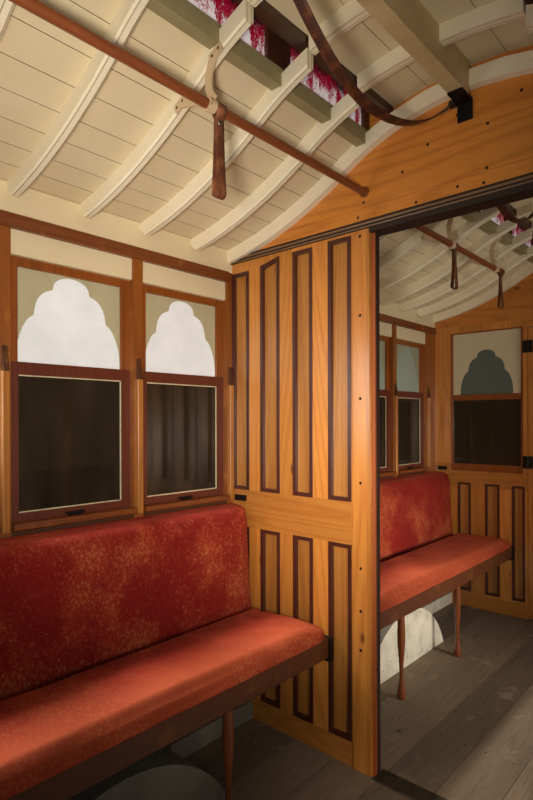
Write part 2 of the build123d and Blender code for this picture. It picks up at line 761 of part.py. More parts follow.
# Boards that close the monitor over the bulkhead and the end wall
with BuildPart() as monitor_ends:
    for y in ((0, bulkhead_t), (end_y, out_y)):
        roof = [(x, monitor_z(x)) for x in (deck_x, 0.0, -deck_x)]
        across([*plank_line(-deck_x, deck_x), *roof], y)
keep(monitor_ends, "monitor_ends")

# End wall: a framed wall with one window and a dado of panels, then the doorway and its right post
with BuildPart() as end_frame:
    bar((wall_face, -end_door_hinge_x), (end_y, out_y), (floor_z, up(end_top_h)))
    cut(end_window, (end_y, out_y), (up(end_window_bottom_h), up(end_window_top_h)))
    for opening in end_openings:
        across(panel_outline(*opening), (end_y, out_y), Mode.SUBTRACT)
keep(end_frame, "end_wall_frame")

end_sash_y = (end_glass_y - sash_t / 2, end_glass_y + sash_t / 2)
with BuildPart() as end_sash:
    bar(inset(end_window, fit_gap), end_sash_y, (up(end_window_bottom_h), up(end_window_top_h)))
    glass = inset(end_window, end_stile_w)
    cut(glass, end_sash_y, (up(end_glass_bottom_h), up(end_meeting_low_h)))
    cut(glass, end_sash_y, (up(end_meeting_high_h), up(end_window_top_h) - end_stile_w / 2))
keep(end_sash, "end_wall_sash")

with BuildPart() as end_arch:
    lower = [(wall_face, up(end_top_h)), (-end_door_hinge_x, up(end_top_h)),
             (-end_door_hinge_x, up(end_head_h)), (doorway_half, up(end_head_h)),
             (doorway_half, up(end_top_h)), (aisle_edge, up(end_top_h))]
    across([*lower, *reversed(plank_line(wall_face, aisle_edge))], (end_y, out_y))
keep(end_arch, "end_arch_board")

# End door, hung on two knuckled hinges and opening into the saloon
door_x = (-end_door_hinge_x + door_hinge_gap, doorway_half - door_lead_gap)
door_y = (end_y, end_y + door_t)
door_z = (floor_z + door_floor_gap, up(end_head_h) - door_top_gap)
door_glass_x = inset(door_x, door_stile_w)
door_glass_z = (up(end_glass_bottom_h), door_z[1] - door_top_rail_w)
door_panel_w = 110.0
door_panel_step = (door_glass_x[1] - door_glass_x[0] - door_panel_w) / 2
door_panels = [(door_glass_x[0] + n * door_panel_step, door_glass_x[0] + n * door_panel_step + door_panel_w)
               for n in range(3)]
door_openings = [(a, b, end_dado_bottom_h, end_dado_top_h, end_dado_top_h) for a, b in door_panels]
with BuildPart() as door_frame:
    bar(door_x, door_y, door_z)
    cut(door_glass_x, door_y, door_glass_z)
    for opening in door_openings:
        across(panel_outline(*opening), door_y, Mode.SUBTRACT)
keep(door_frame, "end_door_frame")

door_mid_y = (door_y[0] + door_y[1]) / 2
with BuildPart() as door_glass:
    bar(door_glass_x, (door_mid_y - glass_t / 2, door_mid_y + glass_t / 2), door_glass_z)
keep(door_glass, "end_door_glass")

door_panel_y = (door_mid_y - panel_t / 4, door_mid_y + panel_t / 4)
with BuildPart() as door_fill:
    for opening in door_openings:
        across(panel_outline(*opening), door_panel_y)
keep(door_fill, "end_door_panels")

with BuildPart() as door_beads:
    for opening in door_openings:
        for face in ((door_y[0] - bead_proud, door_panel_y[0]), (door_panel_y[1], door_y[1] + bead_proud)):
            across(panel_outline(*opening), face)
            across(panel_outline(*opening, trim=bead_w), face, Mode.SUBTRACT)
keep(door_beads, "end_door_beads")

handle_x = door_x[1] - door_stile_w / 2
handle_z = up((end_dado_top_h + end_glass_bottom_h) / 2)
with BuildPart() as door_handle:
    for face, way in ((door_y[0], -1), (door_y[1], 1)):
        with BuildSketch(Plane.XZ.offset(-face)) as rose:
            with Locations((handle_x, handle_z)):
                Circle(24)
        extrude(rose.sketch, amount=-way * 6)
        with BuildSketch(Plane.XZ.offset(-face - way * 6)) as stem:
            with Locations((handle_x, handle_z)):
                Circle(8)
        extrude(stem.sketch, amount=-way * 30)
        with Locations((handle_x, face + way * 44, handle_z)):
            Sphere(22)
keep(door_handle, "end_door_knobs")

pin_x = -end_door_hinge_x + door_hinge_gap / 2
pin_y = end_y - hinge_knuckle_r - hinge_leaf_t
hinges = [up(end_glass_bottom_h + low_hinge_rise), up(end_head_h - high_hinge_drop)]


def knuckle(z, height, mode=Mode.ADD, radius=hinge_knuckle_r):
    """A round on the hinge pin's line, from z upward."""
    with BuildSketch(Plane.XY.offset(z)) as round_outline:
        with Locations((pin_x, pin_y)):
            Circle(radius)
    extrude(round_outline.sketch, amount=height, mode=mode)


third = hinge_len / 3
with BuildPart() as fixed_leaves:
    for z in hinges:
        bar((-end_door_hinge_x - hinge_leaf_w, -end_door_hinge_x - 2), (end_y - hinge_leaf_t, end_y),
            (z - hinge_len / 2, z + hinge_len / 2))
        for start in (z - hinge_len / 2, z + hinge_len / 2 - third):
            knuckle(start, third)
            bar((-end_door_hinge_x - hinge_knuckle_r, pin_x), (pin_y + 2, end_y - hinge_leaf_t),
                (start, start + third))
            bar((-end_door_hinge_x - hinge_knuckle_r, -end_door_hinge_x - 2),
                (end_y - hinge_leaf_t, end_y), (start, start + third))
        knuckle(z - hinge_len / 2, hinge_len, radius=hinge_pin_r)
keep(fixed_leaves, "hinge_frame_leaves")

with BuildPart() as door_leaves:
    for z in hinges:
        bar((door_x[0] + 1, door_x[0] + hinge_leaf_w), (end_y - hinge_leaf_t, end_y),
            (z - hinge_len / 2, z + hinge_len / 2))
        start = z - third / 2 + fit_gap
        knuckle(start, third - 2 * fit_gap)
        bar((pin_x, door_x[0] + hinge_knuckle_r), (pin_y + 2, end_y - hinge_leaf_t),
            (start, start + third - 2 * fit_gap))
        knuckle(z - hinge_len, 2 * hinge_len, Mode.SUBTRACT, hinge_pin_r + running_gap / 4)
keep(door_leaves, "hinge_door_leaves")

# Benches: a front rail, a seat board and a wall batten, on turned legs
bench_runs = [(near_y, -bead_proud, near_y, -bench_end_gap),
              (bulkhead_t + bead_proud, end_y - bead_proud, bulkhead_t + bench_end_gap, end_y - bench_end_gap)]
rail_x = (-bench_front - bench_rail_t, -bench_front)
board_z = (up(bench_rail_high_h) - seat_board_t, up(bench_rail_high_h))
with BuildPart() as bench_frames:
    for start, stop, rail_start, rail_stop in bench_runs:
        bar(rail_x, (rail_start, rail_stop), (up(bench_rail_low_h), up(bench_rail_high_h)))
        bar((wall_face, rail_x[0]), (start, stop), board_z)
        bar((wall_face, wall_face + batten_w), (start, stop), (up(bench_rail_low_h), board_z[0]))
keep(bench_frames, "bench_frames")

seat_x = (-back_foot_x + soft_gap, -cushion_front)
with BuildPart() as seat_cushions:
    for start, stop, _, _ in bench_runs:
        ends = (start if start == near_y else start + cushion_end_gap, stop - cushion_end_gap)
        bar(seat_x, ends, (up(bench_rail_high_h), up(cushion_top_h)))
    front = seat_cushions.edges().filter_by(Axis.Y).group_by(Axis.X)[-1].group_by(Axis.Z)[-1]
    fillet(front, cushion_round)
keep(seat_cushions, "seat_cushions")

with BuildPart() as back_cushions:
    for start, stop, _, _ in bench_runs:
        ends = (start if start == near_y else start + cushion_end_gap, stop - cushion_end_gap)
        across([(wall_face + soft_gap, board_z[1]), (-back_foot_x, board_z[1]),
                (-back_head_x, up(back_top_h) - back_round), (-back_head_x - 12, up(back_top_h) - 16),
                (-back_head_x - 30, up(back_top_h)), (wall_face + soft_gap, up(back_top_h))], ends)
keep(back_cushions, "back_cushions")

# Turned leg outline as (radius, height): slim, swelling to a club foot
leg_outline = [(15.0, bench_rail_low_h), (17.0, 250.0), (13.5, 62.0), (19.0, 26.0), (19.0, 12.0), (14.0, 0.0)]
leg_x = -bench_front - leg_inset
legs = [mid_y - 520.5 - n * leg_pitch for n in (0, 1)] + [mid_y + 519.5 + n * leg_pitch for n in (0, 1)]
with BuildPart() as one_leg:
    with BuildSketch(Plane.XZ) as leg_sketch:
        with BuildLine():
            Polyline((0, bench_rail_low_h), leg_outline[0])
            Spline(*leg_outline[:4], tangents=((0, -1), (0, -1)))
            Polyline(*leg_outline[3:], (0, 0), (0, bench_rail_low_h))
        make_face()
    revolve(axis=Axis.Z)

with BuildPart() as bench_legs:
    with Locations(*[(leg_x, y, floor_z) for y in legs]):
        add(one_leg.part)
keep(bench_legs, "bench_legs")

# Hand poles between flanges, brackets on the ribs, and the strap hangers
pole_runs = [(near_y, 0.0, near_pole_h), (bulkhead_t, bulkhead_t + far_pole_length, far_pole_h)]


def along(x, z, radius, start, stop, mode=Mode.ADD):
    """A round bar along the car."""
    with BuildSketch(Plane.XZ.offset(-start)) as round_outline:
        with Locations((x, z)):
            Circle(radius)
    extrude(round_outline.sketch, amount=start - stop, mode=mode)


with BuildPart() as hand_poles:
    for start, stop, height in pole_runs:
        along(-pole_x, up(height), pole_r, start, stop)
    along(-pole_x, up(near_pole_h), pole_flange_r, -pole_flange_t, 0)
    along(-pole_x, up(far_pole_h), pole_flange_r, bulkhead_t, bulkhead_t + pole_flange_t)
keep(hand_poles, "hand_poles")

# Brackets as (rib, side of the rib along the car, pole height)
pole_brackets = [(near_ribs[2], -1, near_pole_h), (near_ribs[-1], 1, near_pole_h),
                 (far_ribs[2], -1, far_pole_h), (far_ribs[4], 1, far_pole_h)]
foot_low_x, foot_high_x = -478.0, -340.0
foot_lift = 4.0
with BuildPart() as brackets:
    for rib, way, height in pole_brackets:
        face = rib + way * rib_w / 2
        plate = sorted((face, face + way * arm_t))
        ring = sorted((face, face + way * ring_w))
        centre = up(height)
        with BuildSketch(Plane.XZ.offset(-plate[0])) as arms:
            with BuildLine() as arm_lines:
                low = (foot_low_x, arch_z(foot_low_x) + foot_lift)
                high = (foot_high_x, arch_z(foot_high_x) + foot_lift)
                ThreePointArc(low, (-pole_x - 70, centre + 40), (-pole_x - 12, centre + 14))
                ThreePointArc((-pole_x + 6, centre + 16), (-pole_x - 14, (centre + high[1]) / 2), high)
            trace(line_width=arm_w)
            with Locations(low, high):
                Rectangle(44, 24, rotation=24)
        extrude(arms.sketch, amount=plate[0] - plate[1])
        along(-pole_x, centre, pole_r + ring_t, ring[0], ring[1])
        along(-pole_x, centre, pole_r, ring[0] - 1, ring[1] + 1, Mode.SUBTRACT)
keep(brackets, "pole_brackets")

# Strap hangers as (name, middle along the car, pole height, drop below the pole)
hangers = [("strap_hanger_near", near_ribs[2] + strap_rib_gap, near_pole_h, 222.0),
           ("strap_hanger_mid", far_ribs[2] + strap_rib_gap, far_pole_h, 190.0),
           ("strap_hanger_far", far_ribs[4] + 103.0, far_pole_h, 190.0)]
for name, y, height, drop in hangers:
    centre = up(height)
    neck = centre - strap_neck
    bow = centre - drop + strap_loop_r
    inner_r = strap_loop_r - strap_t
    with BuildPart() as hanger:
        with BuildSketch(Plane.XZ.offset(-(y - strap_w / 2))) as strap:
            with Locations((-pole_x, centre)):
                Circle(pole_r + running_gap + strap_t)
            with BuildLine():
                Polyline((-pole_x + pole_r, centre - pole_r * 0.7), (-pole_x + strap_t, neck),
                         (-pole_x + strap_loop_r, bow), (-pole_x - strap_loop_r, bow),
                         (-pole_x - strap_t, neck), (-pole_x - pole_r, centre - pole_r * 0.7), close=True)
            make_face()
            with Locations((-pole_x, bow)):
                Circle(strap_loop_r)
                Circle(inner_r, mode=Mode.SUBTRACT)
            with BuildLine():
                Polyline((-pole_x, neck - 2 * strap_t), (-pole_x + inner_r, bow), (-pole_x - inner_r, bow),
                         close=True)
            make_face(mode=Mode.SUBTRACT)
            with Locations((-pole_x, centre)):
                Circle(pole_r + running_gap, mode=Mode.SUBTRACT)
        extrude(strap.sketch, amount=-strap_w)
    keep(hanger, name)

# Bell straps: each hangs slack from an iron on the bulkhead to an iron beside the purlin. The points
# of the route are (x, distance from the bulkhead's face, drop below the purlin), chosen by hand
strap_route = [(-34.0, 21.0, 7.0), (-36.0, 76.0, 50.0), (-38.0, 172.0, 114.0), (-40.0, 275.0, 164.0),
               (-41.0, 386.0, 194.0), (-40.0, 500.0, 204.0), (-38.0, 608.0, 181.0),
               (-36.0, 702.0, 133.0), (-35.0, 787.0, 71.0), (-34.0, 847.0, 19.0)]


def strap_points(face_y, way):
    """The route's corners beside the bulkhead's face at face_y, going away from it."""
    return [Vector(x, face_y + way * y, up(purlin_bottom_h - drop)) for x, y, drop in strap_route]


def strap_radii(points):
    """The largest arc that each corner's two runs allow."""
    radii = []
    for a, b, c in zip(points, points[1:], points[2:]):
        turn = (b - a).get_angle(c - b)
        radii.append(0.45 * min((b - a).length, (c - b).length) / tan(radians(turn / 2)))
    return radii


for name, face_y, way in (("bell_strap_near", 0.0, -1), ("bell_strap_far", bulkhead_t, 1)):
    points = strap_points(face_y, way)
    radii = strap_radii(points)
    print(name, "radii", [round(r) for r in radii])
    with BuildPart() as bell_strap:
        with BuildLine() as route:
            FilletPolyline(*points, radius=radii)
        with BuildSketch(Plane(origin=points[0], z_dir=points[1] - points[0])):
            Circle(bell_strap_r)
        sweep()
    run_length = sum(edge.length for edge in route.edges())
    print(name, "share of full volume", bell_strap.part.volume / (run_length * pi * bell_strap_r ** 2))
    keep(bell_strap, name)

# Irons at both walls: straps under the purlins, shoes that carry the bench rails, and corner irons.
# The lugs and ferrules at the ends of the bell straps are fixed to them and to the purlins
purlin_under = up(purlin_bottom_h)
with BuildPart() as wall_irons:
    for y, way in ((0.0, -1), (bulkhead_t, 1), (end_y, -1)):
        bar((-half_purlin, half_purlin), sorted((y, y + way * iron_reach)),
            (purlin_under - iron_t, purlin_under))
        bar((-half_purlin, half_purlin), sorted((y, y + way * iron_t)),
            (purlin_under - iron_drop, purlin_under - iron_t))
        bar((rail_x[0], rail_x[1] + shoe_lip), sorted((y + way * bead_proud, y + way * bench_end_gap)),
            (up(bench_rail_low_h) - shoe_foot, up(bench_rail_high_h)))
        bar((wall_face + sill_nose + 4, -skirting_x - shoe_foot), sorted((y, y + way * corner_iron_t)),
            (up(back_top_h) + soft_gap, up(sill_top_h)))
    for face_y, way in ((0.0, -1), (bulkhead_t, 1)):
        points = strap_points(face_y, way)
        for end, inner in ((points[0], points[1]), (points[-1], points[-2])):
            outward = (end - inner).normalized()
            with BuildSketch(Plane(origin=end, z_dir=outward)) as ferrule:
                Circle(ferrule_r)
            extrude(ferrule.sketch, amount=ferrule_len)
        wall_end = points[0] + (points[0] - points[1]).normalized() * ferrule_len
        bar((wall_end.X - ferrule_r, -half_purlin + iron_t), sorted((face_y, face_y + way * corner_iron_t)),
            (wall_end.Z - ferrule_r, wall_end.Z + ferrule_r))
        lug = points[-1] + (points[-1] - points[-2]).normalized() * ferrule_len
        bar((lug.X - ferrule_r, -half_purlin), (lug.Y - iron_t, lug.Y + iron_t),
            (lug.Z - ferrule_r, purlin_under + lug_rise))
keep(wall_irons, "wall_irons")
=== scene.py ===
import json
import math

import bmesh
import bpy
from mathutils import Matrix, Vector, noise


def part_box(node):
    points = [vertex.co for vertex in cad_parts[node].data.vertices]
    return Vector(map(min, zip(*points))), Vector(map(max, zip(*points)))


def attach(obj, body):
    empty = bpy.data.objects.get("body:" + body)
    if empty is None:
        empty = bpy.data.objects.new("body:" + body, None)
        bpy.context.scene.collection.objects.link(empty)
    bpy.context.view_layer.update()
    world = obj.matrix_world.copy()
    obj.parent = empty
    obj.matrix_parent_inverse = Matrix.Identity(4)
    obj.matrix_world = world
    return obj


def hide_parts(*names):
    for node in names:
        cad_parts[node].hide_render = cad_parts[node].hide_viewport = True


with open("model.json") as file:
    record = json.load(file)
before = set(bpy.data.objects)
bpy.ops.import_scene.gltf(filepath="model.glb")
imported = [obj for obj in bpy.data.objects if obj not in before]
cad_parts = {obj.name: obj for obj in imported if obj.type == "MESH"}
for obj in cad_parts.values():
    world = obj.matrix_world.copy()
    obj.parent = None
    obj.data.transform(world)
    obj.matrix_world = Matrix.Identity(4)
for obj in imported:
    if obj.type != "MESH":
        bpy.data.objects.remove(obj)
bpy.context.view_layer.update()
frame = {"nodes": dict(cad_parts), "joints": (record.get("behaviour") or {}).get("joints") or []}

# Camera: it stands in the near compartment beyond the cut side of the section, looking level and across
# to the bulkhead, as the photograph's did. The photograph is 533 by 800 with its horizon below the middle
photo_height = 800
horizon_pixel = 420.7
floor_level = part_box("floor_boards")[1].z
lens_width = 36.0

camera_data = bpy.data.cameras.new("camera")
camera_data.sensor_width = lens_width
camera_data.lens = 24.9
camera_data.shift_y = (horizon_pixel - photo_height / 2) / photo_height
camera = bpy.data.objects.new("camera", camera_data)
camera.location = (0.670, -1.630, floor_level + 1.209)
camera.rotation_euler = (math.radians(90), math.radians(0.14), math.radians(42.19))
bpy.context.scene.collection.objects.link(camera)
bpy.context.scene.camera = camera
bpy.context.scene.view_settings.view_transform = "Standard"


# Stage: a pale floor under the section and a pale world, with soft lamps. The world is plain white to
# the eye and behind glass, and gives a weaker even light to the section
def linear(code, alpha=1.0):
    """An sRGB hex colour as linear red, green, blue and alpha."""
    channels = [int(code[n:n + 2], 16) / 255 for n in (1, 3, 5)]
    return (*[c / 12.92 if c <= 0.04045 else ((c + 0.055) / 1.055) ** 2.4 for c in channels], alpha)


def wire(tree, node, sockets):
    """Sets a node's sockets by name: each to a value, a hex colour, an output or a node's first output."""
    for name, value in sockets.items():
        if isinstance(value, bpy.types.Node):
            value = value.outputs[0]
        if isinstance(value, bpy.types.NodeSocket):
            tree.links.new(value, node.inputs[name])
        else:
            node.inputs[name].default_value = linear(value) if isinstance(value, str) else value


def add(tree, kind, sockets=None, **settings):
    """Adds one shader node. Settings are its own properties."""
    made = tree.nodes.new("ShaderNode" + kind)
    for name, value in settings.items():
        setattr(made, name, value)
    wire(tree, made, sockets or {})
    return made


def maths(tree, kind, one, two=0.5, **settings):
    """A sum on one or two numbers."""
    return add(tree, "Math", {0: one, 1: two}, operation=kind, **settings)


def surface(name, **settings):
    """A new material: its tree and its surface shader, with plain values for the shader's sockets."""
    material = bpy.data.materials.new(name)
    material.use_nodes = True
    shader = material.node_tree.nodes["Principled BSDF"]
    wire(material.node_tree, shader, {name.replace("_", " "): value for name, value in settings.items()})
    return material, material.node_tree, shader


def place(name, mesh, material=None):
    """An object for a mesh, in the scene, with its finish."""
    made = bpy.data.objects.new(name, mesh)
    bpy.context.scene.collection.objects.link(made)
    if material:
        mesh.materials.append(material)
    return made


backdrop_white = "#F2F1EE"
world = bpy.data.worlds.new("studio")
world.use_nodes = True
bpy.context.scene.world = world
tree = world.node_tree
rays = add(tree, "LightPath")
seen = maths(tree, "ADD", rays.outputs["Is Camera Ray"], rays.outputs["Is Transmission Ray"], use_clamp=True)
ambient = add(tree, "Background", {"Color": "#FFF8F0", "Strength": 0.12})
backdrop = add(tree, "Background", {"Color": backdrop_white, "Strength": 1.0})
mixed = add(tree, "MixShader", {0: seen, 1: ambient, 2: backdrop})
wire(tree, tree.nodes["World Output"], {"Surface": mixed})

pale_floor, tree, shader = surface("pale studio floor", Base_Color=backdrop_white, Roughness=0.9)
ground = bmesh.new()
bmesh.ops.create_grid(ground, x_segments=1, y_segments=1, size=14.0)
floor_mesh = bpy.data.meshes.new("studio floor")
ground.to_mesh(floor_mesh)
ground.free()
studio_floor = place("studio floor", floor_mesh, pale_floor)
studio_floor.location.z = -0.001


def soft_lamp(name, place_at, look_at, size, power, colour, spread=180, deep=None):
    """A flat lamp that faces a point. Spread is the angle of its beam in degrees."""
    lamp = bpy.data.lights.new(name, "AREA")
    lamp.size = size
    if deep:
        lamp.shape = "RECTANGLE"
        lamp.size_y = deep
    lamp.energy = power
    lamp.spread = math.radians(spread)
    lamp.color = linear(colour)[:3]
    lit = bpy.data.objects.new(name, lamp)
    lit.location = place_at
    lit.rotation_euler = (Vector(look_at) - Vector(place_at)).to_track_quat("-Z", "Y").to_euler()
    bpy.context.scene.collection.objects.link(lit)


soft_lamp("key lamp", (0.40, -1.58, 1.43), (-0.90, -0.50, 1.95), 0.16, 5.2, "#FFF3E2", spread=90)
soft_lamp("fill lamp", (0.95, -1.10, 1.15), (-0.75, -0.15, 1.14), 0.4, 2.2, "#FFF3E2", spread=64)
soft_lamp("bulkhead lamp", (0.45, -1.50, 1.15), (-0.45, 0.0, 1.14), 0.25, 2.2, "#FFF3E2", spread=52)
soft_lamp("side window lamp", (-0.985, -1.17, 1.45), (-0.20, 0.05, 1.35), 0.36, 2.4, "#FFFAF4", spread=110,
          deep=0.5)
soft_lamp("aisle lamp", (1.6, 0.9, 0.95), (-0.7, 1.0, 0.62), 0.5, 5.0, "#FFF3E2", spread=56)
soft_lamp("far ceiling lamp", (1.4, 1.0, 1.1), (-0.75, 1.25, 1.85), 0.4, 2.2, "#FFF3E2", spread=70)
soft_lamp("floor lamp", (1.2, -1.1, 1.1), (0.28, -0.25, 0.125), 0.3, 1.6, "#FFF3E2", spread=40)
soft_lamp("outside lamp", (-3.6, 0.3, 3.0), (-1.0, 0.2, 1.4), 2.0, 60.0, "#F4F6FF")
for window_y in (-1.17, -0.705, -0.245):
    soft_lamp("window lamp", (-0.985, window_y, 1.14), (-0.48, window_y, 0.62), 0.36, 0.56, "#FFF6EA",
              spread=44, deep=0.04)
for window_y in (0.30, 0.78):
    soft_lamp("far window lamp", (-0.985, window_y, 1.14), (-0.48, window_y, 0.62), 0.36, 0.5, "#FFF6EA",
              spread=44, deep=0.04)


# Bell straps: each a flat harness-leather strap, cut and dyed, hung slack from an iron on the bulkhead
# to an iron beside the purlin. Handling has polished it and worn its edges pale
def here(tree):
    """Where a point lies, in the section's own metres."""
    return add(tree, "TexCoord").outputs["Object"]


def ranged(tree, value, low, high, to_low=0.0, to_high=1.0):
    """Moves a number from one range to another and holds it there."""
    return add(tree, "MapRange", {"Value": value, "From Min": low, "From Max": high, "To Min": to_low,
                                  "To Max": to_high})


def blend(tree, share, one, two):
    """Mixes two colours by the share of the second."""
    return add(tree, "MixRGB", {"Fac": share, "Color1": one, "Color2": two})


def mottle(tree, where, scale, detail, rough=0.5):
    """Noise with a scale per metre, layers of detail and the strength of the finer ones."""
    return add(tree, "TexNoise", {"Vector": where, "Scale": scale, "Detail": detail, "Roughness": rough})


def emboss(tree, shader, height, strength, distance):
    """Raises and sinks a surface by a pattern, over a distance in metres."""
    bump = add(tree, "Bump", {"Height": height, "Strength": strength, "Distance": distance})
    wire(tree, shader, {"Normal": bump})


def leather(name, skin, worn, gloss):
    """Dyed harness leather: broad patches of wear, fine creases across and a low sheen."""
    made, tree, shader = surface(name, Specular_IOR_Level=0.4)
    where = here(tree)
    crease_per_m = 1 / 0.004
    patch_per_m = 1 / 0.035
    patches = mottle(tree, where, patch_per_m, 5.0)
    spread = ranged(tree, patches, 0.46, 0.72)
    colour = blend(tree, spread, skin, worn)
    creases = mottle(tree, where, crease_per_m, 3.0)
    roughness = ranged(tree, patches, 0.0, 1.0, gloss + 0.2, gloss)
    wire(tree, shader, {"Base Color": colour, "Roughness": roughness})
    emboss(tree, shader, creases, 0.35, 0.0006)
    return made


strap_leather = leather("harness leather", "#5E3320", "#96603F", 0.4)
bell_leather = leather("dark harness leather", "#42200F", "#7E4222", 0.4)

strap_steps = 96
bell_width = 0.026
bell_thickness = 0.004
purlin_under = floor_level + 2.165
bulkhead_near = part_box("header_board")[0].y
bulkhead_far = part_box("header_board")[1].y
# Route points as (x, distance from the bulkhead's face, drop below the purlin)
strap_route = [(-0.034, 0.021, 0.007), (-0.036, 0.076, 0.050), (-0.038, 0.172, 0.114),
               (-0.040, 0.275, 0.164), (-0.041, 0.386, 0.194), (-0.040, 0.500, 0.204),
               (-0.038, 0.608, 0.181), (-0.036, 0.702, 0.133), (-0.035, 0.787, 0.071),
               (-0.034, 0.847, 0.019)]


def smooth_line(points, steps):
    """Points evenly spaced in parameter on the NURBS spline whose control points are given."""
    curve = bpy.data.curves.new("line", "CURVE")
    curve.dimensions = "3D"
    spline = curve.splines.new("NURBS")
    spline.points.add(len(points) - 1)
    for knot, point in zip(spline.points, points):
        knot.co = (*point, 1.0)
    spline.order_u = 3
    spline.use_endpoint_u = True
    spline.resolution_u = steps // len(points)
    holder = bpy.data.objects.new("line", curve)
    bpy.context.scene.collection.objects.link(holder)
    mesh = bpy.data.meshes.new_from_object(holder)
    line = [v.co.copy() for v in mesh.vertices]
    bpy.data.objects.remove(holder)
    bpy.data.meshes.remove(mesh)
    return line


def ribbon(line, sides, width, thickness, closed=False):
    """A flat strap along a line, with rounded edges. Sides are the directions of its width."""
    shape = bmesh.new()
    half, deep = width / 2, thickness / 2
    section = [(half, 0.0), (half - deep * 0.5, deep * 0.8), (0.3 * half, deep), (-0.3 * half, deep),
               (-half + deep * 0.5, deep * 0.8), (-half, 0.0), (-half + deep * 0.5, -deep * 0.8),
               (-0.3 * half, -deep), (0.3 * half, -deep), (half - deep * 0.5, -deep * 0.8)]
    rings = []
    for n, (point, side) in enumerate(zip(line, sides)):
        ahead = line[(n + 1) % len(line)] if closed or n + 1 < len(line) else point
        behind = line[n - 1] if closed or n else point
        run = (ahead - behind).normalized()
        across = (side - run * side.dot(run)).normalized()
        face = run.cross(across)
        rings.append([shape.verts.new(point + across * a + face * b) for a, b in section])
    pairs = list(zip(rings, rings[1:]))
    if closed:
        pairs.append((rings[-1], rings[0]))
    for one, two in pairs:
        for n in range(len(section)):
            shape.faces.new((one[n - 1], one[n], two[n], two[n - 1]))
    if not closed:
        shape.faces.new(rings[0])
        shape.faces.new(list(reversed(rings[-1])))
    bmesh.ops.recalc_face_normals(shape, faces=shape.faces)
    for face in shape.faces:
        face.smooth = True
    return shape


def mesh_of(shape, name):
    """Turns a bmesh into a mesh and frees it."""
    mesh = bpy.data.meshes.new(name)
    shape.to_mesh(mesh)
    shape.free()
    return mesh


for name, face_y, way in (("bell_strap_near", bulkhead_near, -1), ("bell_strap_far", bulkhead_far, 1)):
    route = [Vector((x, face_y + way * y, purlin_under - drop)) for x, y, drop in strap_route]
    line = smooth_line(route, strap_steps)
    sides = [Vector((1.0, 0.0, 0.25 * math.sin(n / len(line) * math.pi))) for n in range(len(line))]
    strap = place(name + "_leather", mesh_of(ribbon(line, sides, bell_width, bell_thickness), name),
                  bell_leather)
    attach(strap, "saloon")
    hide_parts(name)


# Underframe: two oak sills along the car and the bearers across, painted dark and never washed. Rough
# sawn faces stay matt and take dust
def dress(names, material, eased=0.0):
    """Gives CAD pieces their finish and eases their edges by a width in metres."""
    for name in names:
        node = frame["nodes"][name]
        for slot in node.material_slots:
            slot.material = material
        if eased:
            edge = node.modifiers.new("eased edges", "BEVEL")
            edge.width = eased
            edge.segments = 2
            edge.limit_method = "ANGLE"
            edge.angle_limit = math.radians(40)
            edge.harden_normals = True


def stretch(tree, where, by):
    """Points drawn out or pressed together along each axis."""
    return add(tree, "VectorMath", {0: where, 1: by}, operation="MULTIPLY")


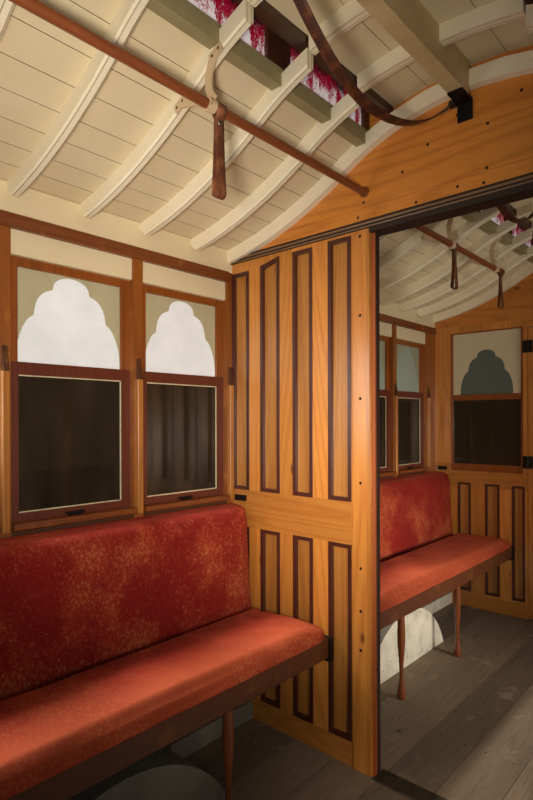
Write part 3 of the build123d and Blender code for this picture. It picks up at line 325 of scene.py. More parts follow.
def timber(name, pale, dark, along="Z", rough=0.45, coat=0.0, ring_mm=11.0, worn=None, rails=(),
           knots=0.0, figured=0.3, boards=None):
    """Sawn wood in its finish: growth rings drawn out along the grain, fibres, knots and worn patches.

    Rails are bands (low, high, right end) in which the grain runs across instead of upright. Boards
    are (axis, width, start): each board in that row has its own tone and its own piece of the pattern."""
    made, tree, shader = surface(name, Coat_Weight=coat, Coat_Roughness=0.25)
    where = here(tree)
    axes = add(tree, "SeparateXYZ", {"Vector": where})
    board = 0.5
    if boards:
        axis, width, start = boards
        past = maths(tree, "SUBTRACT", axes.outputs[axis], start)
        past = maths(tree, "DIVIDE", past, width)
        past = maths(tree, "FLOOR", past)
        board = add(tree, "TexWhiteNoise", {"W": past}, noise_dimensions="1D").outputs["Value"]
    across_m, run_m, rings_a_swell = 1 / (ring_mm * 0.012), 0.35, 30.0
    scales = {axis: (run_m if axis == along else across_m) for axis in "XYZ"}
    if rails:
        turned = add(tree, "CombineXYZ", {"X": axes.outputs["Z"], "Y": axes.outputs["Y"],
                                          "Z": axes.outputs["X"]})
        inside = None
        for low, high, right in rails:
            over = maths(tree, "GREATER_THAN", axes.outputs["Z"], low)
            under = maths(tree, "LESS_THAN", axes.outputs["Z"], high)
            left = maths(tree, "LESS_THAN", axes.outputs["X"], right)
            both = maths(tree, "MULTIPLY", over, under)
            band = maths(tree, "MULTIPLY", both, left)
            inside = band if inside is None else maths(tree, "MAXIMUM", inside, band)
        where = blend(tree, inside, where, turned)
        upright = maths(tree, "SUBTRACT", 1.0, inside)
        board = maths(tree, "MULTIPLY", board, upright)
    apart = add(tree, "CombineXYZ")
    for socket, share in zip("XYZ", (7.3, 3.1, 5.7)):
        wire(tree, apart, {socket: maths(tree, "MULTIPLY", board, share)})
    where = add(tree, "VectorMath", {0: where, 1: apart}, operation="ADD")
    stretched = stretch(tree, where, [scales[a] for a in "XYZ"])
    swell = add(tree, "TexNoise", {"Vector": stretched, "Scale": 0.55, "Detail": 2.0, "Distortion": 0.4})
    rings = maths(tree, "MULTIPLY", swell, rings_a_swell)
    rings = maths(tree, "PINGPONG", rings, 0.5)
    late = ranged(tree, rings, 0.2, 0.5)
    fine = {axis: (14.0 if axis == along else 620.0) for axis in "XYZ"}
    drawn = stretch(tree, where, [fine[a] for a in "XYZ"])
    fibres = mottle(tree, drawn, 1.0, 4.0, 0.6)
    figure = maths(tree, "MULTIPLY", late, figured)
    streak = ranged(tree, fibres, 0.3, 0.75, 0.0, 0.55)
    share = maths(tree, "ADD", figure, streak, use_clamp=True)
    colour = blend(tree, share, pale, dark)
    tone = ranged(tree, board, 0.0, 1.0, 0.82, 1.14)
    broad = mottle(tree, stretched, 0.18, 3.0)
    shade = ranged(tree, broad, 0.3, 0.7, 0.78, 1.12)
    level = maths(tree, "MULTIPLY", tone, shade)
    colour = add(tree, "VectorMath", {0: colour, "Scale": level}, operation="SCALE")
    if knots:
        cells = stretch(tree, where, [4.2 if a == along else 9.0 for a in "XYZ"])
        spots = add(tree, "TexVoronoi", {"Vector": cells, "Scale": 1.0})
        heart = ranged(tree, spots.outputs["Distance"], 0.05, 0.11, knots, 0.0)
        colour = blend(tree, heart, colour, "#3A1A0C")
    if worn:
        rubbed = mottle(tree, where, 9.0, 6.0, 0.7)
        gone = ranged(tree, rubbed, 0.58, 0.66, 0.0, 0.55)
        colour = blend(tree, gone, colour, worn)
    sheen = ranged(tree, fibres, 0.0, 1.0, rough - 0.08, rough + 0.12)
    wire(tree, shader, {"Base Color": colour, "Roughness": sheen})
    emboss(tree, shader, fibres, 0.12, 0.0006)
    return made


painted_oak = timber("dark painted oak", "#3B2E27", "#241C18", along="Y", rough=0.75)
painted_bearers = timber("dark painted oak bearers", "#3B2E27", "#241C18", along="X", rough=0.75)
dress(["long_sills"], painted_oak, 0.003)
dress(["cross_bearers"], painted_bearers, 0.003)

# Floor: bare pine boards along the car, trodden grey, with dirt in the grain, round-headed nails at each
# bearer and a worn brass strip in the doorway
low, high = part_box("floor_boards")
board_count = 8
board_step = (high.x - low.x + 0.0015) / board_count
floor_pine = timber("trodden bare pine", "#8A7761", "#4E4033", along="Y", rough=0.75, ring_mm=10.0,
                    worn="#A08E79", knots=0.6, figured=0.2, boards=("X", board_step, low.x))
dress(["floor_boards"], floor_pine, 0.002)


def brass_like(name, bright, dull, rough):
    """A yellow metal, cast or drawn, that handling keeps bright in places and air dulls elsewhere."""
    made, tree, shader = surface(name, Metallic=1.0)
    where = here(tree)
    dulling = mottle(tree, where, 1 / 0.03, 6.0)
    colour = blend(tree, dulling, bright, dull)
    sheen = ranged(tree, dulling, 0.0, 1.0, rough - 0.1, rough + 0.25)
    wire(tree, shader, {"Base Color": colour, "Roughness": sheen})
    return made


old_brass = brass_like("tarnished brass", "#A8824A", "#5B4526", 0.38)
trodden_brass = brass_like("trodden brass strip", "#6E6252", "#3E362C", 0.6)
dress(["end_door_knobs"], old_brass)
dress(["threshold_strip"], trodden_brass)

iron = surface("dull wrought iron", Metallic=0.85, Roughness=0.55, Base_Color="#2C2825")[0]


def fit(name, shape, material, body="saloon"):
    """Puts a finished shape in the scene, on its body and with its colour slot."""
    made = place(name, mesh_of(shape, name), material)
    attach(made, body)
    return made


def heads(name, spots, radius, out, high=0.3):
    """Low domed iron heads of nails, screws or bolts. Spots are where they stand, out the way they face."""
    shape = bmesh.new()
    turn = Vector((0, 0, 1)).rotation_difference(Vector(out)).to_matrix().to_4x4()
    flat = Matrix.Diagonal((1, 1, high, 1))
    for spot in spots:
        bmesh.ops.create_uvsphere(shape, u_segments=10, v_segments=6, radius=radius,
                                  matrix=Matrix.Translation(spot) @ turn @ flat)
    for face in shape.faces:
        face.smooth = True
    fit(name, shape, iron)


bearer_rows = (-1.39, -0.35, 0.0225, 0.395, 1.33, 1.91)
nail_spots = []
for row in bearer_rows:
    for n in range(board_count):
        for share in (0.22, 0.78):
            x = low.x + (n + share) * board_step
            nail_spots.append(Vector((x, row + 0.006 * noise.noise(Vector((x * 31, row, 0))), high.z)))
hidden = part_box("wheel_boxes")[1].x
nail_spots = [spot for spot in nail_spots if spot.x > hidden or abs(spot.y) < 0.4]
heads("floor_nails", nail_spots, 0.0035, (0, 0, 1), high=0.2)


# Wheel boxes and skirting: pine under thick whitewash-like paint, scuffed grey by boots. The boxes are
# boarded over the wheels and nailed to the floor
def lay_over(material, share, colour):
    """Covers a finished material's colour with another where a socket of its own tree says so."""
    tree = material.node_tree
    shader = tree.nodes["Principled BSDF"]
    under = shader.inputs["Base Color"].links[0].from_socket
    mixed = blend(tree, share, under, colour)
    wire(tree, shader, {"Base Color": mixed})


def along_axis(material, axis, start, stop, amount):
    """A socket of the material's tree that goes from nothing to an amount between two places."""
    tree = material.node_tree
    axes = add(tree, "SeparateXYZ", {"Vector": here(tree)})
    return ranged(tree, axes.outputs[axis], start, stop, 0.0, amount)


def old_paint(name, colour, dirt, rough=0.55, chip=None, scuff=0.5, joints=None):
    """Brushed oil paint of many coats: slightly uneven colour, dust in patches and a faint brush drag.

    Joints is the colour of the dirt on upright edges, where boards meet."""
    made, tree, shader = surface(name)
    where = here(tree)
    patches = mottle(tree, where, 1 / 0.16, 7.0, 0.62)
    dusty = ranged(tree, patches, 0.42, 0.75, 0.0, scuff)
    colours = blend(tree, dusty, colour, dirt)
    if chip:
        flakes = mottle(tree, where, 1 / 0.02, 4.0)
        lost = ranged(tree, flakes, 0.69, 0.71)
        colours = blend(tree, lost, colours, chip)
    if joints:
        facing = add(tree, "NewGeometry").outputs["Normal"]
        level = add(tree, "SeparateXYZ", {"Vector": facing})
        flat = maths(tree, "ABSOLUTE", level.outputs["Z"])
        upright = ranged(tree, flat, 0.55, 0.75, 1.0, 0.0)
        colours = blend(tree, upright, colours, joints)
    sheen = ranged(tree, patches, 0.0, 1.0, rough - 0.1, rough + 0.2)
    wire(tree, shader, {"Base Color": colours, "Roughness": sheen})
    drag = mottle(tree, where, 1 / 0.007, 3.0)
    emboss(tree, shader, drag, 0.12, 0.0008)
    return made


scuffed_white = old_paint("scuffed white paint", "#E2DCCB", "#8E8676", rough=0.6, chip="#6A6054", scuff=0.7)
dress(["wheel_boxes", "skirting_boards"], scuffed_white, 0.003)
# The near compartment's are darkened with painted shade, for the shadow under the near seat
lay_over(scuffed_white, along_axis(scuffed_white, "Y", 0.02, 0.0, 0.85), "#5B564B")

# Side wall outside: painted panels between the posts, dark red oil paint gone chalky, with half-round
# mouldings along it
body_paint = old_paint("chalky dark red paint", "#5A1F1B", "#6E4038", rough=0.45, scuff=0.4)
dress(["wall_lower_panels", "outside_mouldings"], body_paint)
# Inside, the same boards are bare brown pine behind the seat backs
panel_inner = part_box("wall_lower_panels")[1].x
lay_over(body_paint, along_axis(body_paint, "X", panel_inner - 0.004, panel_inner - 0.003, 1.0), "#4A2712")

# Posts, window sills and cant rail: pine under red-brown spirit varnish, rubbed to orange on the edges.
# The posts stand between the windows, and sills and rail are let into them
red_post = timber("red-brown varnished pine posts", "#9C5A1F", "#63300D", along="Z", rough=0.34, coat=0.35,
                  worn="#B87A35")
red_rail = timber("red-brown varnished pine rails", "#88481A", "#56250D", along="Y", rough=0.4, coat=0.25,
                  worn="#9C602A")
dress(["wall_posts"], red_post, 0.002)
dress(["cant_rail", "window_sills"], red_rail, 0.002)

# Cream paint covers the head panels, the cornice and the whole ceiling: lead-based oil paint, yellowed
# and a little darker on the planks than on the ribs
cream_rib = old_paint("aged cream paint on ribs", "#EFE5CB", "#DCCDA8", rough=0.42, scuff=0.3)
cream_plank = old_paint("aged cream paint on planks", "#DDCEAB", "#C9B78D", rough=0.5, scuff=0.35,
                        joints="#4A3A26")
cream_panel = old_paint("aged cream paint on panels", "#DDCEAB", "#C9B78D", rough=0.5, scuff=0.3)
dress(["head_panels", "cornice_board"], cream_panel, 0.0015)

# Window sashes: the fixed upper ones in orange varnish and the dropping lower ones in dark red mahogany
# stain, each with a thin bead of putty round its glass
upper_sash_pine = timber("orange varnished sash pine", "#9A5319", "#632F0D", along="Z", rough=0.34, coat=0.3)
sash_mahogany = timber("dark stained sash mahogany", "#6B2D15", "#431709", along="Z", rough=0.45, coat=0.15)
stop_pine = timber("rubbed sash stop pine", "#BE7C34", "#7C4418", along="Z", rough=0.34, coat=0.3)
bracket_wood = timber("dark worn block pine", "#5A3216", "#2E190C", along="Z", rough=0.45, worn="#A86A2C")
dress(["upper_sashes"], upper_sash_pine, 0.002)
dress(["lower_sashes"], sash_mahogany, 0.002)
dress(["sash_stops"], stop_pine)
dress(["stop_brackets"], bracket_wood, 0.002)
dress(["sash_lifts"], iron)

# Bays as (low y, high y), in order along the car, from the CAD lights of the side wall
glass_nodes = frame["nodes"]["upper_lights"].data.vertices
wall_glass_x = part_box("upper_lights")[0].x
wall_corners = sorted({round(v.co.y, 4) for v in glass_nodes if v.co.x < wall_glass_x + 0.01})
bays = list(zip(wall_corners[::2], wall_corners[1::2]))
join_level = floor_level + 1.391
upper_top = max(v.co.z for v in glass_nodes if v.co.x < wall_glass_x + 0.01)
lower_nodes = frame["nodes"]["lower_lights"].data.vertices
lower_glass_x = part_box("lower_lights")[0].x
lower_low = min(v.co.z for v in lower_nodes if v.co.x < lower_glass_x + 0.01)
lower_top = max(v.co.z for v in lower_nodes if v.co.x < lower_glass_x + 0.01)


def slab(shape, low, high):
    """Adds a plain block between two corners."""
    low, high = Vector(low), Vector(high)
    bmesh.ops.create_cube(shape, size=1.0, matrix=Matrix.Translation((low + high) / 2)
                          @ Matrix.Diagonal((*(high - low), 1)))


putty = old_paint("cream putty", "#D8CBA8", "#A8976E", rough=0.7)
putty_size = 0.0035
glass_face = lower_glass_x + 0.004
beads = bmesh.new()
for start, stop in bays:
    for side in (start, stop - putty_size):
        slab(beads, (glass_face, side, lower_low), (glass_face + putty_size, side + putty_size, lower_top))
    for level in (lower_low, lower_top - putty_size):
        slab(beads, (glass_face, start, level), (glass_face + putty_size, stop, level + putty_size))
fit("putty_lines", beads, putty)

# Lower lights: drawn sheet glass painted dark brown as painted shade for the dim view beyond, with
# lighter clouds of painted reflection, so that little behind it shows. The end door's glass is the same
darkened_glass, tree, shader = surface("darkened sheet glass", Roughness=0.06, Base_Color="#2A221A")
where = here(tree)
streaks = stretch(tree, where, (9.0, 9.0, 2.5))
reflection_clouds = mottle(tree, streaks, 1.0, 8.0, 0.65)
# Its dark brown is painted shade and its lighter clouds are painted reflection
dust = blend(tree, reflection_clouds, "#1A130D", "#4E4030")
wire(tree, shader, {"Base Color": dust})
pane = add(tree, "BsdfTransparent", {"Color": "#6E604E"})
held = ranged(tree, reflection_clouds, 0.3, 0.7, 0.35, 0.7)
mixed = add(tree, "MixShader", {0: held, 1: pane, 2: shader})
wire(tree, tree.nodes["Material Output"], {"Surface": mixed})
dress(["lower_lights", "end_door_glass"], darkened_glass)

# Upper lights: obscured glass, with a clover-headed panel of bright frosted glass that carries a fine
# diamond lattice. The spandrels round it are a film of khaki enamel, fired on the inside face
frosted, tree, shader = surface("frosted lattice glass", Roughness=0.55, Transmission_Weight=0.0)
where = here(tree)
lattice_mm = 9.0
axes = add(tree, "SeparateXYZ", {"Vector": where})
flat_run = maths(tree, "ADD", axes.outputs["X"], axes.outputs["Y"])
lines = []
for way in ("ADD", "SUBTRACT"):
    slope = maths(tree, way, flat_run, axes.outputs["Z"])
    slope = maths(tree, "MULTIPLY", slope, 1000 / lattice_mm)
    slope = maths(tree, "PINGPONG", slope, 0.5)
    lines.append(ranged(tree, slope, 0.0, 0.2, 1.0, 0.0))
net = maths(tree, "MAXIMUM", lines[0], lines[1])
cloud = mottle(tree, where, 8.0, 4.0)
faint = ranged(tree, cloud, 0.35, 0.65, 0.12, 0.5)
share = maths(tree, "MULTIPLY", net, faint)
colour = blend(tree, share, "#E4E8EC", "#7F888A")
# The far compartment's lights are tinted grey-green and the end light darkest: painted shade, for less
# daylight
for place_y, shaded_tint in ((0.02, "#8F978A"), (1.85, "#4E544B")):
    beyond = maths(tree, "GREATER_THAN", axes.outputs["Y"], place_y)
    colour = blend(tree, beyond, colour, shaded_tint)
emboss(tree, shader, net, 0.3, 0.0005)
# All the frosted glass glows: painted light standing in for daylight through it, the near lights most
painted_daylight_glow = ranged(tree, axes.outputs["Y"], 0.0, 0.02, 0.22, 0.1)
wire(tree, shader, {"Base Color": colour, "Emission Color": colour, "Emission Strength": painted_daylight_glow})
dress(["upper_lights"], frosted)


def enamel(name, colour, dim):
    """Glassy fired enamel on obscured glass: even colour with soft cloudy streaks down it."""
    made, tree, shader = surface(name, Roughness=0.35)
    where = here(tree)
    streaks = stretch(tree, where, (18.0, 18.0, 4.0))
    cloud = mottle(tree, streaks, 1.0, 5.0)
    colours = blend(tree, cloud, colour, dim)
    wire(tree, shader, {"Base Color": colours})
    return made


# One enamel tinted per window's light: far grey-green is painted shade, end cream is painted front light
khaki_enamel = enamel("khaki fired enamel", "#C2BB9C", "#ABA483")
shaded_grey_enamel = enamel("grey-green fired enamel with painted shade", "#A9AB90", "#8B8D74")
front_lit_cream_enamel = enamel("cream fired enamel with painted front light", "#D9CDAE", "#C4B795")

# Right half of the clover's outline over a light of unit half width and height, as (across, up) from
# the middle of its foot. Each lobe runs from one cusp to the next
clover_lobes = [[(0.998, 0.0), (0.99, 0.14), (0.965, 0.24), (0.90, 0.363), (0.805, 0.467), (0.70, 0.519)],
                [(0.70, 0.519), (0.675, 0.61), (0.627, 0.696), (0.52, 0.775), (0.357, 0.822)],
                [(0.357, 0.822), (0.325, 0.896), (0.243, 0.945), (0.125, 0.974), (0.0, 0.983)]]


def smooth_lobe(points, steps=5):
    """Points on a smooth line through the given ones, without the last of them."""
    first = [2 * a - b for a, b in zip(points[0], points[1])]
    last = [2 * a - b for a, b in zip(points[-1], points[-2])]
    ends = [first, *points, last]
    line = []
    for p, a, b, n in zip(ends, ends[1:], ends[2:], ends[3:]):
        for step in range(steps):
            t = step / steps
            line.append(tuple(0.5 * (2 * a[i] + (b[i] - p[i]) * t
                                     + (2 * p[i] - 5 * a[i] + 4 * b[i] - n[i]) * t**2
                                     + (3 * a[i] - p[i] - 3 * b[i] + n[i]) * t**3) for i in (0, 1)))
    return line


def spandrel(shape, origin, across, half, high, face, thick, share=(1.0, 1.0)):
    """One light's spandrel sheet: the light's outline above the clover, as a thin plate on the glass.

    Share is how much of the light's half width and height the clover takes."""
    right = [point for lobe in clover_lobes for point in smooth_lobe(lobe)]
    clover = [(x * half * share[0], y * high * share[1]) for x, y in right + [(0.0, 0.983)]
              + [(-x, y) for x, y in reversed(right)]]
    outline = [(half, 0.0), (half, high), (-half, high), (-half, 0.0), *reversed(clover)]
    base = [shape.verts.new(origin + across * x + Vector((0, 0, y))) for x, y in outline]
    lower = shape.faces.new(base)
    moved = bmesh.ops.extrude_face_region(shape, geom=[lower])
    tops = [v for v in moved["geom"] if isinstance(v, bmesh.types.BMVert)]
    bmesh.ops.translate(shape, verts=tops, vec=face * thick)


enamel_thick = 0.0012
near_sheets = bmesh.new()
far_sheets = bmesh.new()
upper_face = wall_glass_x + 0.004
for start, stop in bays:
    sheet = near_sheets if stop < bulkhead_far else far_sheets
    spandrel(sheet, Vector((upper_face, (start + stop) / 2, join_level)), Vector((0, 1, 0)),
             (stop - start) / 2, upper_top - join_level, Vector((1, 0, 0)), enamel_thick)
end_glass = [v.co for v in glass_nodes if v.co.x > wall_glass_x + 0.05]
end_left, end_right = min(c.x for c in end_glass), max(c.x for c in end_glass)
end_low, end_high = min(c.z for c in end_glass), max(c.z for c in end_glass)
end_sheets = bmesh.new()
spandrel(end_sheets, Vector(((end_left + end_right) / 2, min(c.y for c in end_glass), end_low)),
         Vector((1, 0, 0)), (end_right - end_left) / 2, end_high - end_low, Vector((0, -1, 0)), enamel_thick,
         share=(0.78, 0.73))
for name, sheet, finish in (("near_spandrels", near_sheets, khaki_enamel),
                            ("far_spandrels", far_sheets, shaded_grey_enamel),
                            ("end_spandrel", end_sheets, front_lit_cream_enamel)):
    bmesh.ops.recalc_face_normals(sheet, faces=sheet.faces)
    fit(name, sheet, finish)

# Roof: steam-bent ash ribs with eased lower edges, softwood planks nailed over them, all painted cream,
# and bare painted canvas outside
dress(["roof_ribs", "upper_ribs"], cream_rib, 0.003)
# Two dark lines are painted along each rib's lower face beside its middle line: painted shade of a bead's
# grooves
rib_first, rib_pitch, groove_out, groove_half = -0.212, 0.235, 0.0078, 0.0016
tree = cream_rib.node_tree
axes = add(tree, "SeparateXYZ", {"Vector": here(tree)})
past = maths(tree, "SUBTRACT", axes.outputs["Y"], rib_first)
past = maths(tree, "PINGPONG", past, rib_pitch / 2)
aside = maths(tree, "SUBTRACT", past, groove_out)
aside = maths(tree, "ABSOLUTE", aside)
painted_groove_shade = ranged(tree, aside, groove_half * 0.4, groove_half, 0.75, 0.0)
lay_over(cream_rib, painted_groove_shade, "#8F7F5C")
dress(["ceiling_planks"], cream_plank)
purlin_cream = old_paint("smoke stained cream paint", "#CDB789", "#9E8352", rough=0.45, scuff=0.6)
dress(["purlins"], purlin_cream, 0.004)
olive_cream = old_paint("olive cream paint", "#9A8E68", "#7C7150", rough=0.5)
dress(["deck_sills"], olive_cream, 0.002)
canvas, tree, shader = surface("painted roofing canvas", Roughness=0.85)
where = here(tree)
weave_mm = 6.0
weave = mottle(tree, where, 1000 / weave_mm, 2.0)
patches = mottle(tree, where, 2.5, 6.0)
colour = blend(tree, patches, "#8F8776", "#6F685B")
wire(tree, shader, {"Base Color": colour})
emboss(tree, shader, weave, 0.3, 0.001)
dress(["roof_canvas", "monitor_roof"], canvas)

# Deck lights: figured glass flashed with crimson on white, darkened along the top edge with painted shade,
# between dark stained mullions
red_glass, tree, shader = surface("crimson figured glass", Roughness=0.28, IOR=1.5)
where = here(tree)
axes = add(tree, "SeparateXYZ", {"Vector": where})
deck_low, deck_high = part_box("deck_lights")[0].z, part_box("deck_lights")[1].z
rise = ranged(tree, axes.outputs["Z"], deck_low, deck_high)
speckle_mm = 2.2
drawn_up = stretch(tree, where, (1.0, 1.0, 0.4))
speckle = mottle(tree, drawn_up, 1000 / speckle_mm, 4.0, 0.65)
drift = mottle(tree, drawn_up, 34.0, 5.0, 0.6)
# White grains crowd along the foot and thin out upwards, where the glass is darkened by painted shade
grains = maths(tree, "MULTIPLY", speckle, 0.8)
grains = maths(tree, "ADD", grains, drift)
lifted = ranged(tree, rise, 0.0, 0.8, 0.14, -0.12)
grains = maths(tree, "ADD", grains, lifted)
share = ranged(tree, grains, 0.90, 0.98)
colour = blend(tree, share, "#9E0A2E", "#F1E6E8")
painted_top_shade = maths(tree, "MULTIPLY", rise, drift)
painted_top_shade = ranged(tree, painted_top_shade, 0.30, 0.46, 0.0, 0.92)
colour = blend(tree, painted_top_shade, colour, "#1D1513")
# The crimson glass also glows a little: painted light, as of daylight through it
wire(tree, shader, {"Base Color": colour, "Emission Color": colour, "Emission Strength": 0.3})
emboss(tree, shader, speckle, 0.4, 0.001)
dress(["deck_lights"], red_glass)
dark_mullion = timber("dark stained mullion pine", "#5A3320", "#33190E", along="Z", rough=0.4, coat=0.2)
dark_rail = timber("dark stained rail pine", "#4A2A1A", "#2B150D", along="Y", rough=0.4, coat=0.2)
dress(["deck_mullions"], dark_mullion, 0.002)
dress(["monitor_rails"], dark_rail, 0.002)

# Bulkhead: a framed wall of pitch pine under golden varnish, with upright panels let in behind dark
# stained beads. Its frame's rails lie across and its stiles stand upright
stile_left = -0.408
rail_bands = [(0.0, floor_level + 0.087, stile_left), (floor_level + 0.774, floor_level + 0.925, stile_left)]
golden_frame = timber("golden varnished pitch pine frame", "#DB9443", "#A85A20", along="Z", rough=0.3,
                      coat=0.5, ring_mm=16.0, rails=rail_bands, knots=0.7, boards=("X", 0.165, -1.004))
golden_panel = timber("golden varnished pitch pine panels", "#C98A42", "#94541F", along="Z", rough=0.32,
                      coat=0.5, ring_mm=10.0)
golden_across = timber("golden varnished pitch pine boards", "#E0913C", "#9A5219", along="X", rough=0.34,
                       coat=0.4, ring_mm=15.0, knots=0.8, figured=0.3)
dark_bead = timber("dark stained bead pine", "#54291F", "#331512", along="Z", rough=0.34, coat=0.4)
dress(["bulkhead_frame", "end_wall_frame", "end_door_frame", "right_posts"], golden_frame, 0.0015)
dress(["joinery_panels", "end_door_panels"], golden_panel)
dress(["header_board", "end_arch_board", "monitor_ends"], golden_across, 0.001)
dress(["joinery_beads", "end_door_beads"], dark_bead, 0.002)
dark_head = timber("dark stained head rail", "#2E2018", "#1A110B", along="X", rough=0.5)
dark_upright = timber("dark stained jamb strips", "#3A2116", "#1E100A", along="Z", rough=0.55)
dress(["head_rail"], dark_head, 0.003)
# The jamb strips' near edges are rubbed to the frame's own colour
lay_over(dark_upright, along_axis(dark_upright, "Y", 0.018, 0.012, 1.0), "#9A4E22")
dress(["jamb_strips"], dark_upright, 0.002)
dress(["end_wall_sash"], upper_sash_pine, 0.002)
dress(["hinge_frame_leaves", "hinge_door_leaves", "wall_irons"], iron)

# Benches: a pine rail along the front of a seat board, varnished brown, on slim legs turned from beech
# and let into the rail
bench_pine = timber("brown varnished bench pine", "#65351A", "#3A1C0C", along="Y", rough=0.45, coat=0.15,
                    worn="#7A4822")
leg_beech = timber("turned beech legs", "#8B4A22", "#5E2B12", along="Z", rough=0.32, coat=0.4)
dress(["bench_frames"], bench_pine, 0.004)
dress(["bench_legs"], leg_beech)

# Cushions: sprung and stuffed, covered in cut wool plush. Years of sitting have worn the pile down to
# its tan backing in flecks, most on the backs. Upward faces, rolls too, go orange: partly worn, partly painted
# light
plush, tree, shader = surface("worn red wool plush", Roughness=0.85, Sheen_Weight=0.25, Sheen_Roughness=0.45,
                              Sheen_Tint="#FF8060", Specular_IOR_Level=0.2)
where = here(tree)
axes = add(tree, "SeparateXYZ", {"Vector": where})
broad = mottle(tree, where, 3.2, 5.0, 0.6)
nap = blend(tree, broad, "#640A0E", "#8E1C16")
facing = add(tree, "NewGeometry").outputs["Normal"]
upward = add(tree, "SeparateXYZ", {"Vector": facing})
# Upward faces are lightened to orange: partly rubbed wear, partly painted light from above
rubbed = ranged(tree, upward.outputs["Z"], 0.25, 1.0, 0.0, 0.9)
# Towards the seats' rear the plush keeps its dark crimson: less worn, and painted shade under the backs
sat_on_and_lit = ranged(tree, axes.outputs["X"], -0.78, -0.56, 0.1, 1.0)
rubbed = maths(tree, "MULTIPLY", rubbed, sat_on_and_lit)
nap = blend(tree, rubbed, nap, "#9E3A1F")
# The seats' tops get painted shade along their rear and painted light, orange, towards their fronts
seat_top = ranged(tree, axes.outputs["Z"], 0.66, 0.64)
for start, stop, amount, tint in ((-0.70, -0.82, 0.75, "#3A0608"), (-0.66, -0.52, 0.4, "#B5643A")):
    painted_light_and_shade = ranged(tree, axes.outputs["X"], start, stop, 0.0, amount)
    painted_light_and_shade = maths(tree, "MULTIPLY", painted_light_and_shade, seat_top)
    painted_light_and_shade = maths(tree, "MULTIPLY", painted_light_and_shade, upward.outputs["Z"], use_clamp=True)
    nap = blend(tree, painted_light_and_shade, nap, tint)
# Flecks are where fine worn tips crowd inside coarser rubbed spots
tip_mm, spot_mm = 2.6, 9.0
drawn = stretch(tree, where, (1.0, 1.0, 0.75))
tips = mottle(tree, drawn, 1000 / tip_mm, 3.0, 0.6)
spots = mottle(tree, drawn, 1000 / spot_mm, 4.0, 0.6)
zones = mottle(tree, where, 3.6, 5.0, 0.62)
total = maths(tree, "ADD", tips, spots)
warmed = ranged(tree, zones, 0.44, 0.66, 0.0, 0.7)
nap = blend(tree, warmed, nap, "#A63A22")
zone = ranged(tree, zones, 0.38, 0.62, 1.24, 1.02)
past = maths(tree, "SUBTRACT", total, zone)
bare = ranged(tree, past, -0.08, 0.16, 0.0, 0.75)
# Sitting has laid the seats' pile over as well, so flecks are fainter there
laid = ranged(tree, upward.outputs["Z"], 0.4, 0.95, 1.0, 0.6)
bare = maths(tree, "MULTIPLY", bare, laid)
nap = blend(tree, bare, nap, "#B87848")
wire(tree, shader, {"Base Color": nap})
pile = mottle(tree, where, 1 / 0.0025, 2.0)
emboss(tree, shader, pile, 0.5, 0.0012)


mesh_step = 0.011
cloth_steps = 20
stuffing_pressure = 4.0
lump, small_lump = 0.006, 0.002


def stuffed(name, outline, lift, swell, pinned, rounded, radius):
    """Blows a plain block up into a stuffed cushion with a cloth simulation.

    Outline and lift are a closed polygon and the way it is drawn out. Pinned tells the points that
    stay on the board or wall, and rounded those whose edges turn by a radius."""
    shape = bmesh.new()
    face = shape.faces.new([shape.verts.new(point) for point in outline])
    moved = bmesh.ops.extrude_face_region(shape, geom=[face])
    risen = [v for v in moved["geom"] if isinstance(v, bmesh.types.BMVert)]
    bmesh.ops.translate(shape, vec=lift, verts=risen)
    turned = [edge for edge in shape.edges if all(rounded(end.co) for end in edge.verts)]
    bmesh.ops.bevel(shape, geom=turned, offset=radius, segments=4, profile=0.5, affect="EDGES")
    bmesh.ops.recalc_face_normals(shape, faces=shape.faces)
    made = place(name, mesh_of(shape, name), plush)
    remesh = made.modifiers.new("even mesh", "REMESH")
    remesh.mode = "VOXEL"
    remesh.voxel_size = mesh_step
    view = bpy.context.evaluated_depsgraph_get()
    even = bpy.data.meshes.new_from_object(made.evaluated_get(view))
    made.modifiers.clear()
    made.data = even
    made.data.name = name
    if not even.materials:
        even.materials.append(plush)
    rest = [v.co.copy() for v in even.vertices]
    group = made.vertex_groups.new(name="pinned")
    group.add([v.index for v in even.vertices if pinned(v.co)], 1.0, "REPLACE")
    cloth = made.modifiers.new("stuffing", "CLOTH")
    cloth.settings.quality = 4
    cloth.settings.vertex_group_mass = "pinned"
    cloth.settings.use_pressure = True
    cloth.settings.uniform_pressure_force = stuffing_pressure
    cloth.settings.effector_weights.gravity = 0.0
    for step in range(1, cloth_steps + 1):
        bpy.context.scene.frame_set(step)
    blown = bpy.data.meshes.new_from_object(made.evaluated_get(bpy.context.evaluated_depsgraph_get()))
    for vertex, start, swollen in zip(even.vertices, rest, blown.vertices):
        step = swollen.co - start
        vertex.co = start + step * min(1.0, swell / max(step.length, 1e-9))
    made.modifiers.clear()
    made.vertex_groups.clear()
    bpy.context.scene.frame_set(1)
    for vertex, start in zip(even.vertices, rest):
        if not pinned(start):
            soft = noise.noise(start * 5.0) * lump + noise.noise(start * 17.0) * small_lump
            vertex.co += Vector((0.7, 0.0, 0.8)) * soft
    for polygon in even.polygons:
        polygon.use_smooth = True
    finer = made.modifiers.new("smooth", "SUBSURF")
    finer.levels = finer.render_levels = 1
    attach(made, "saloon")
    return made


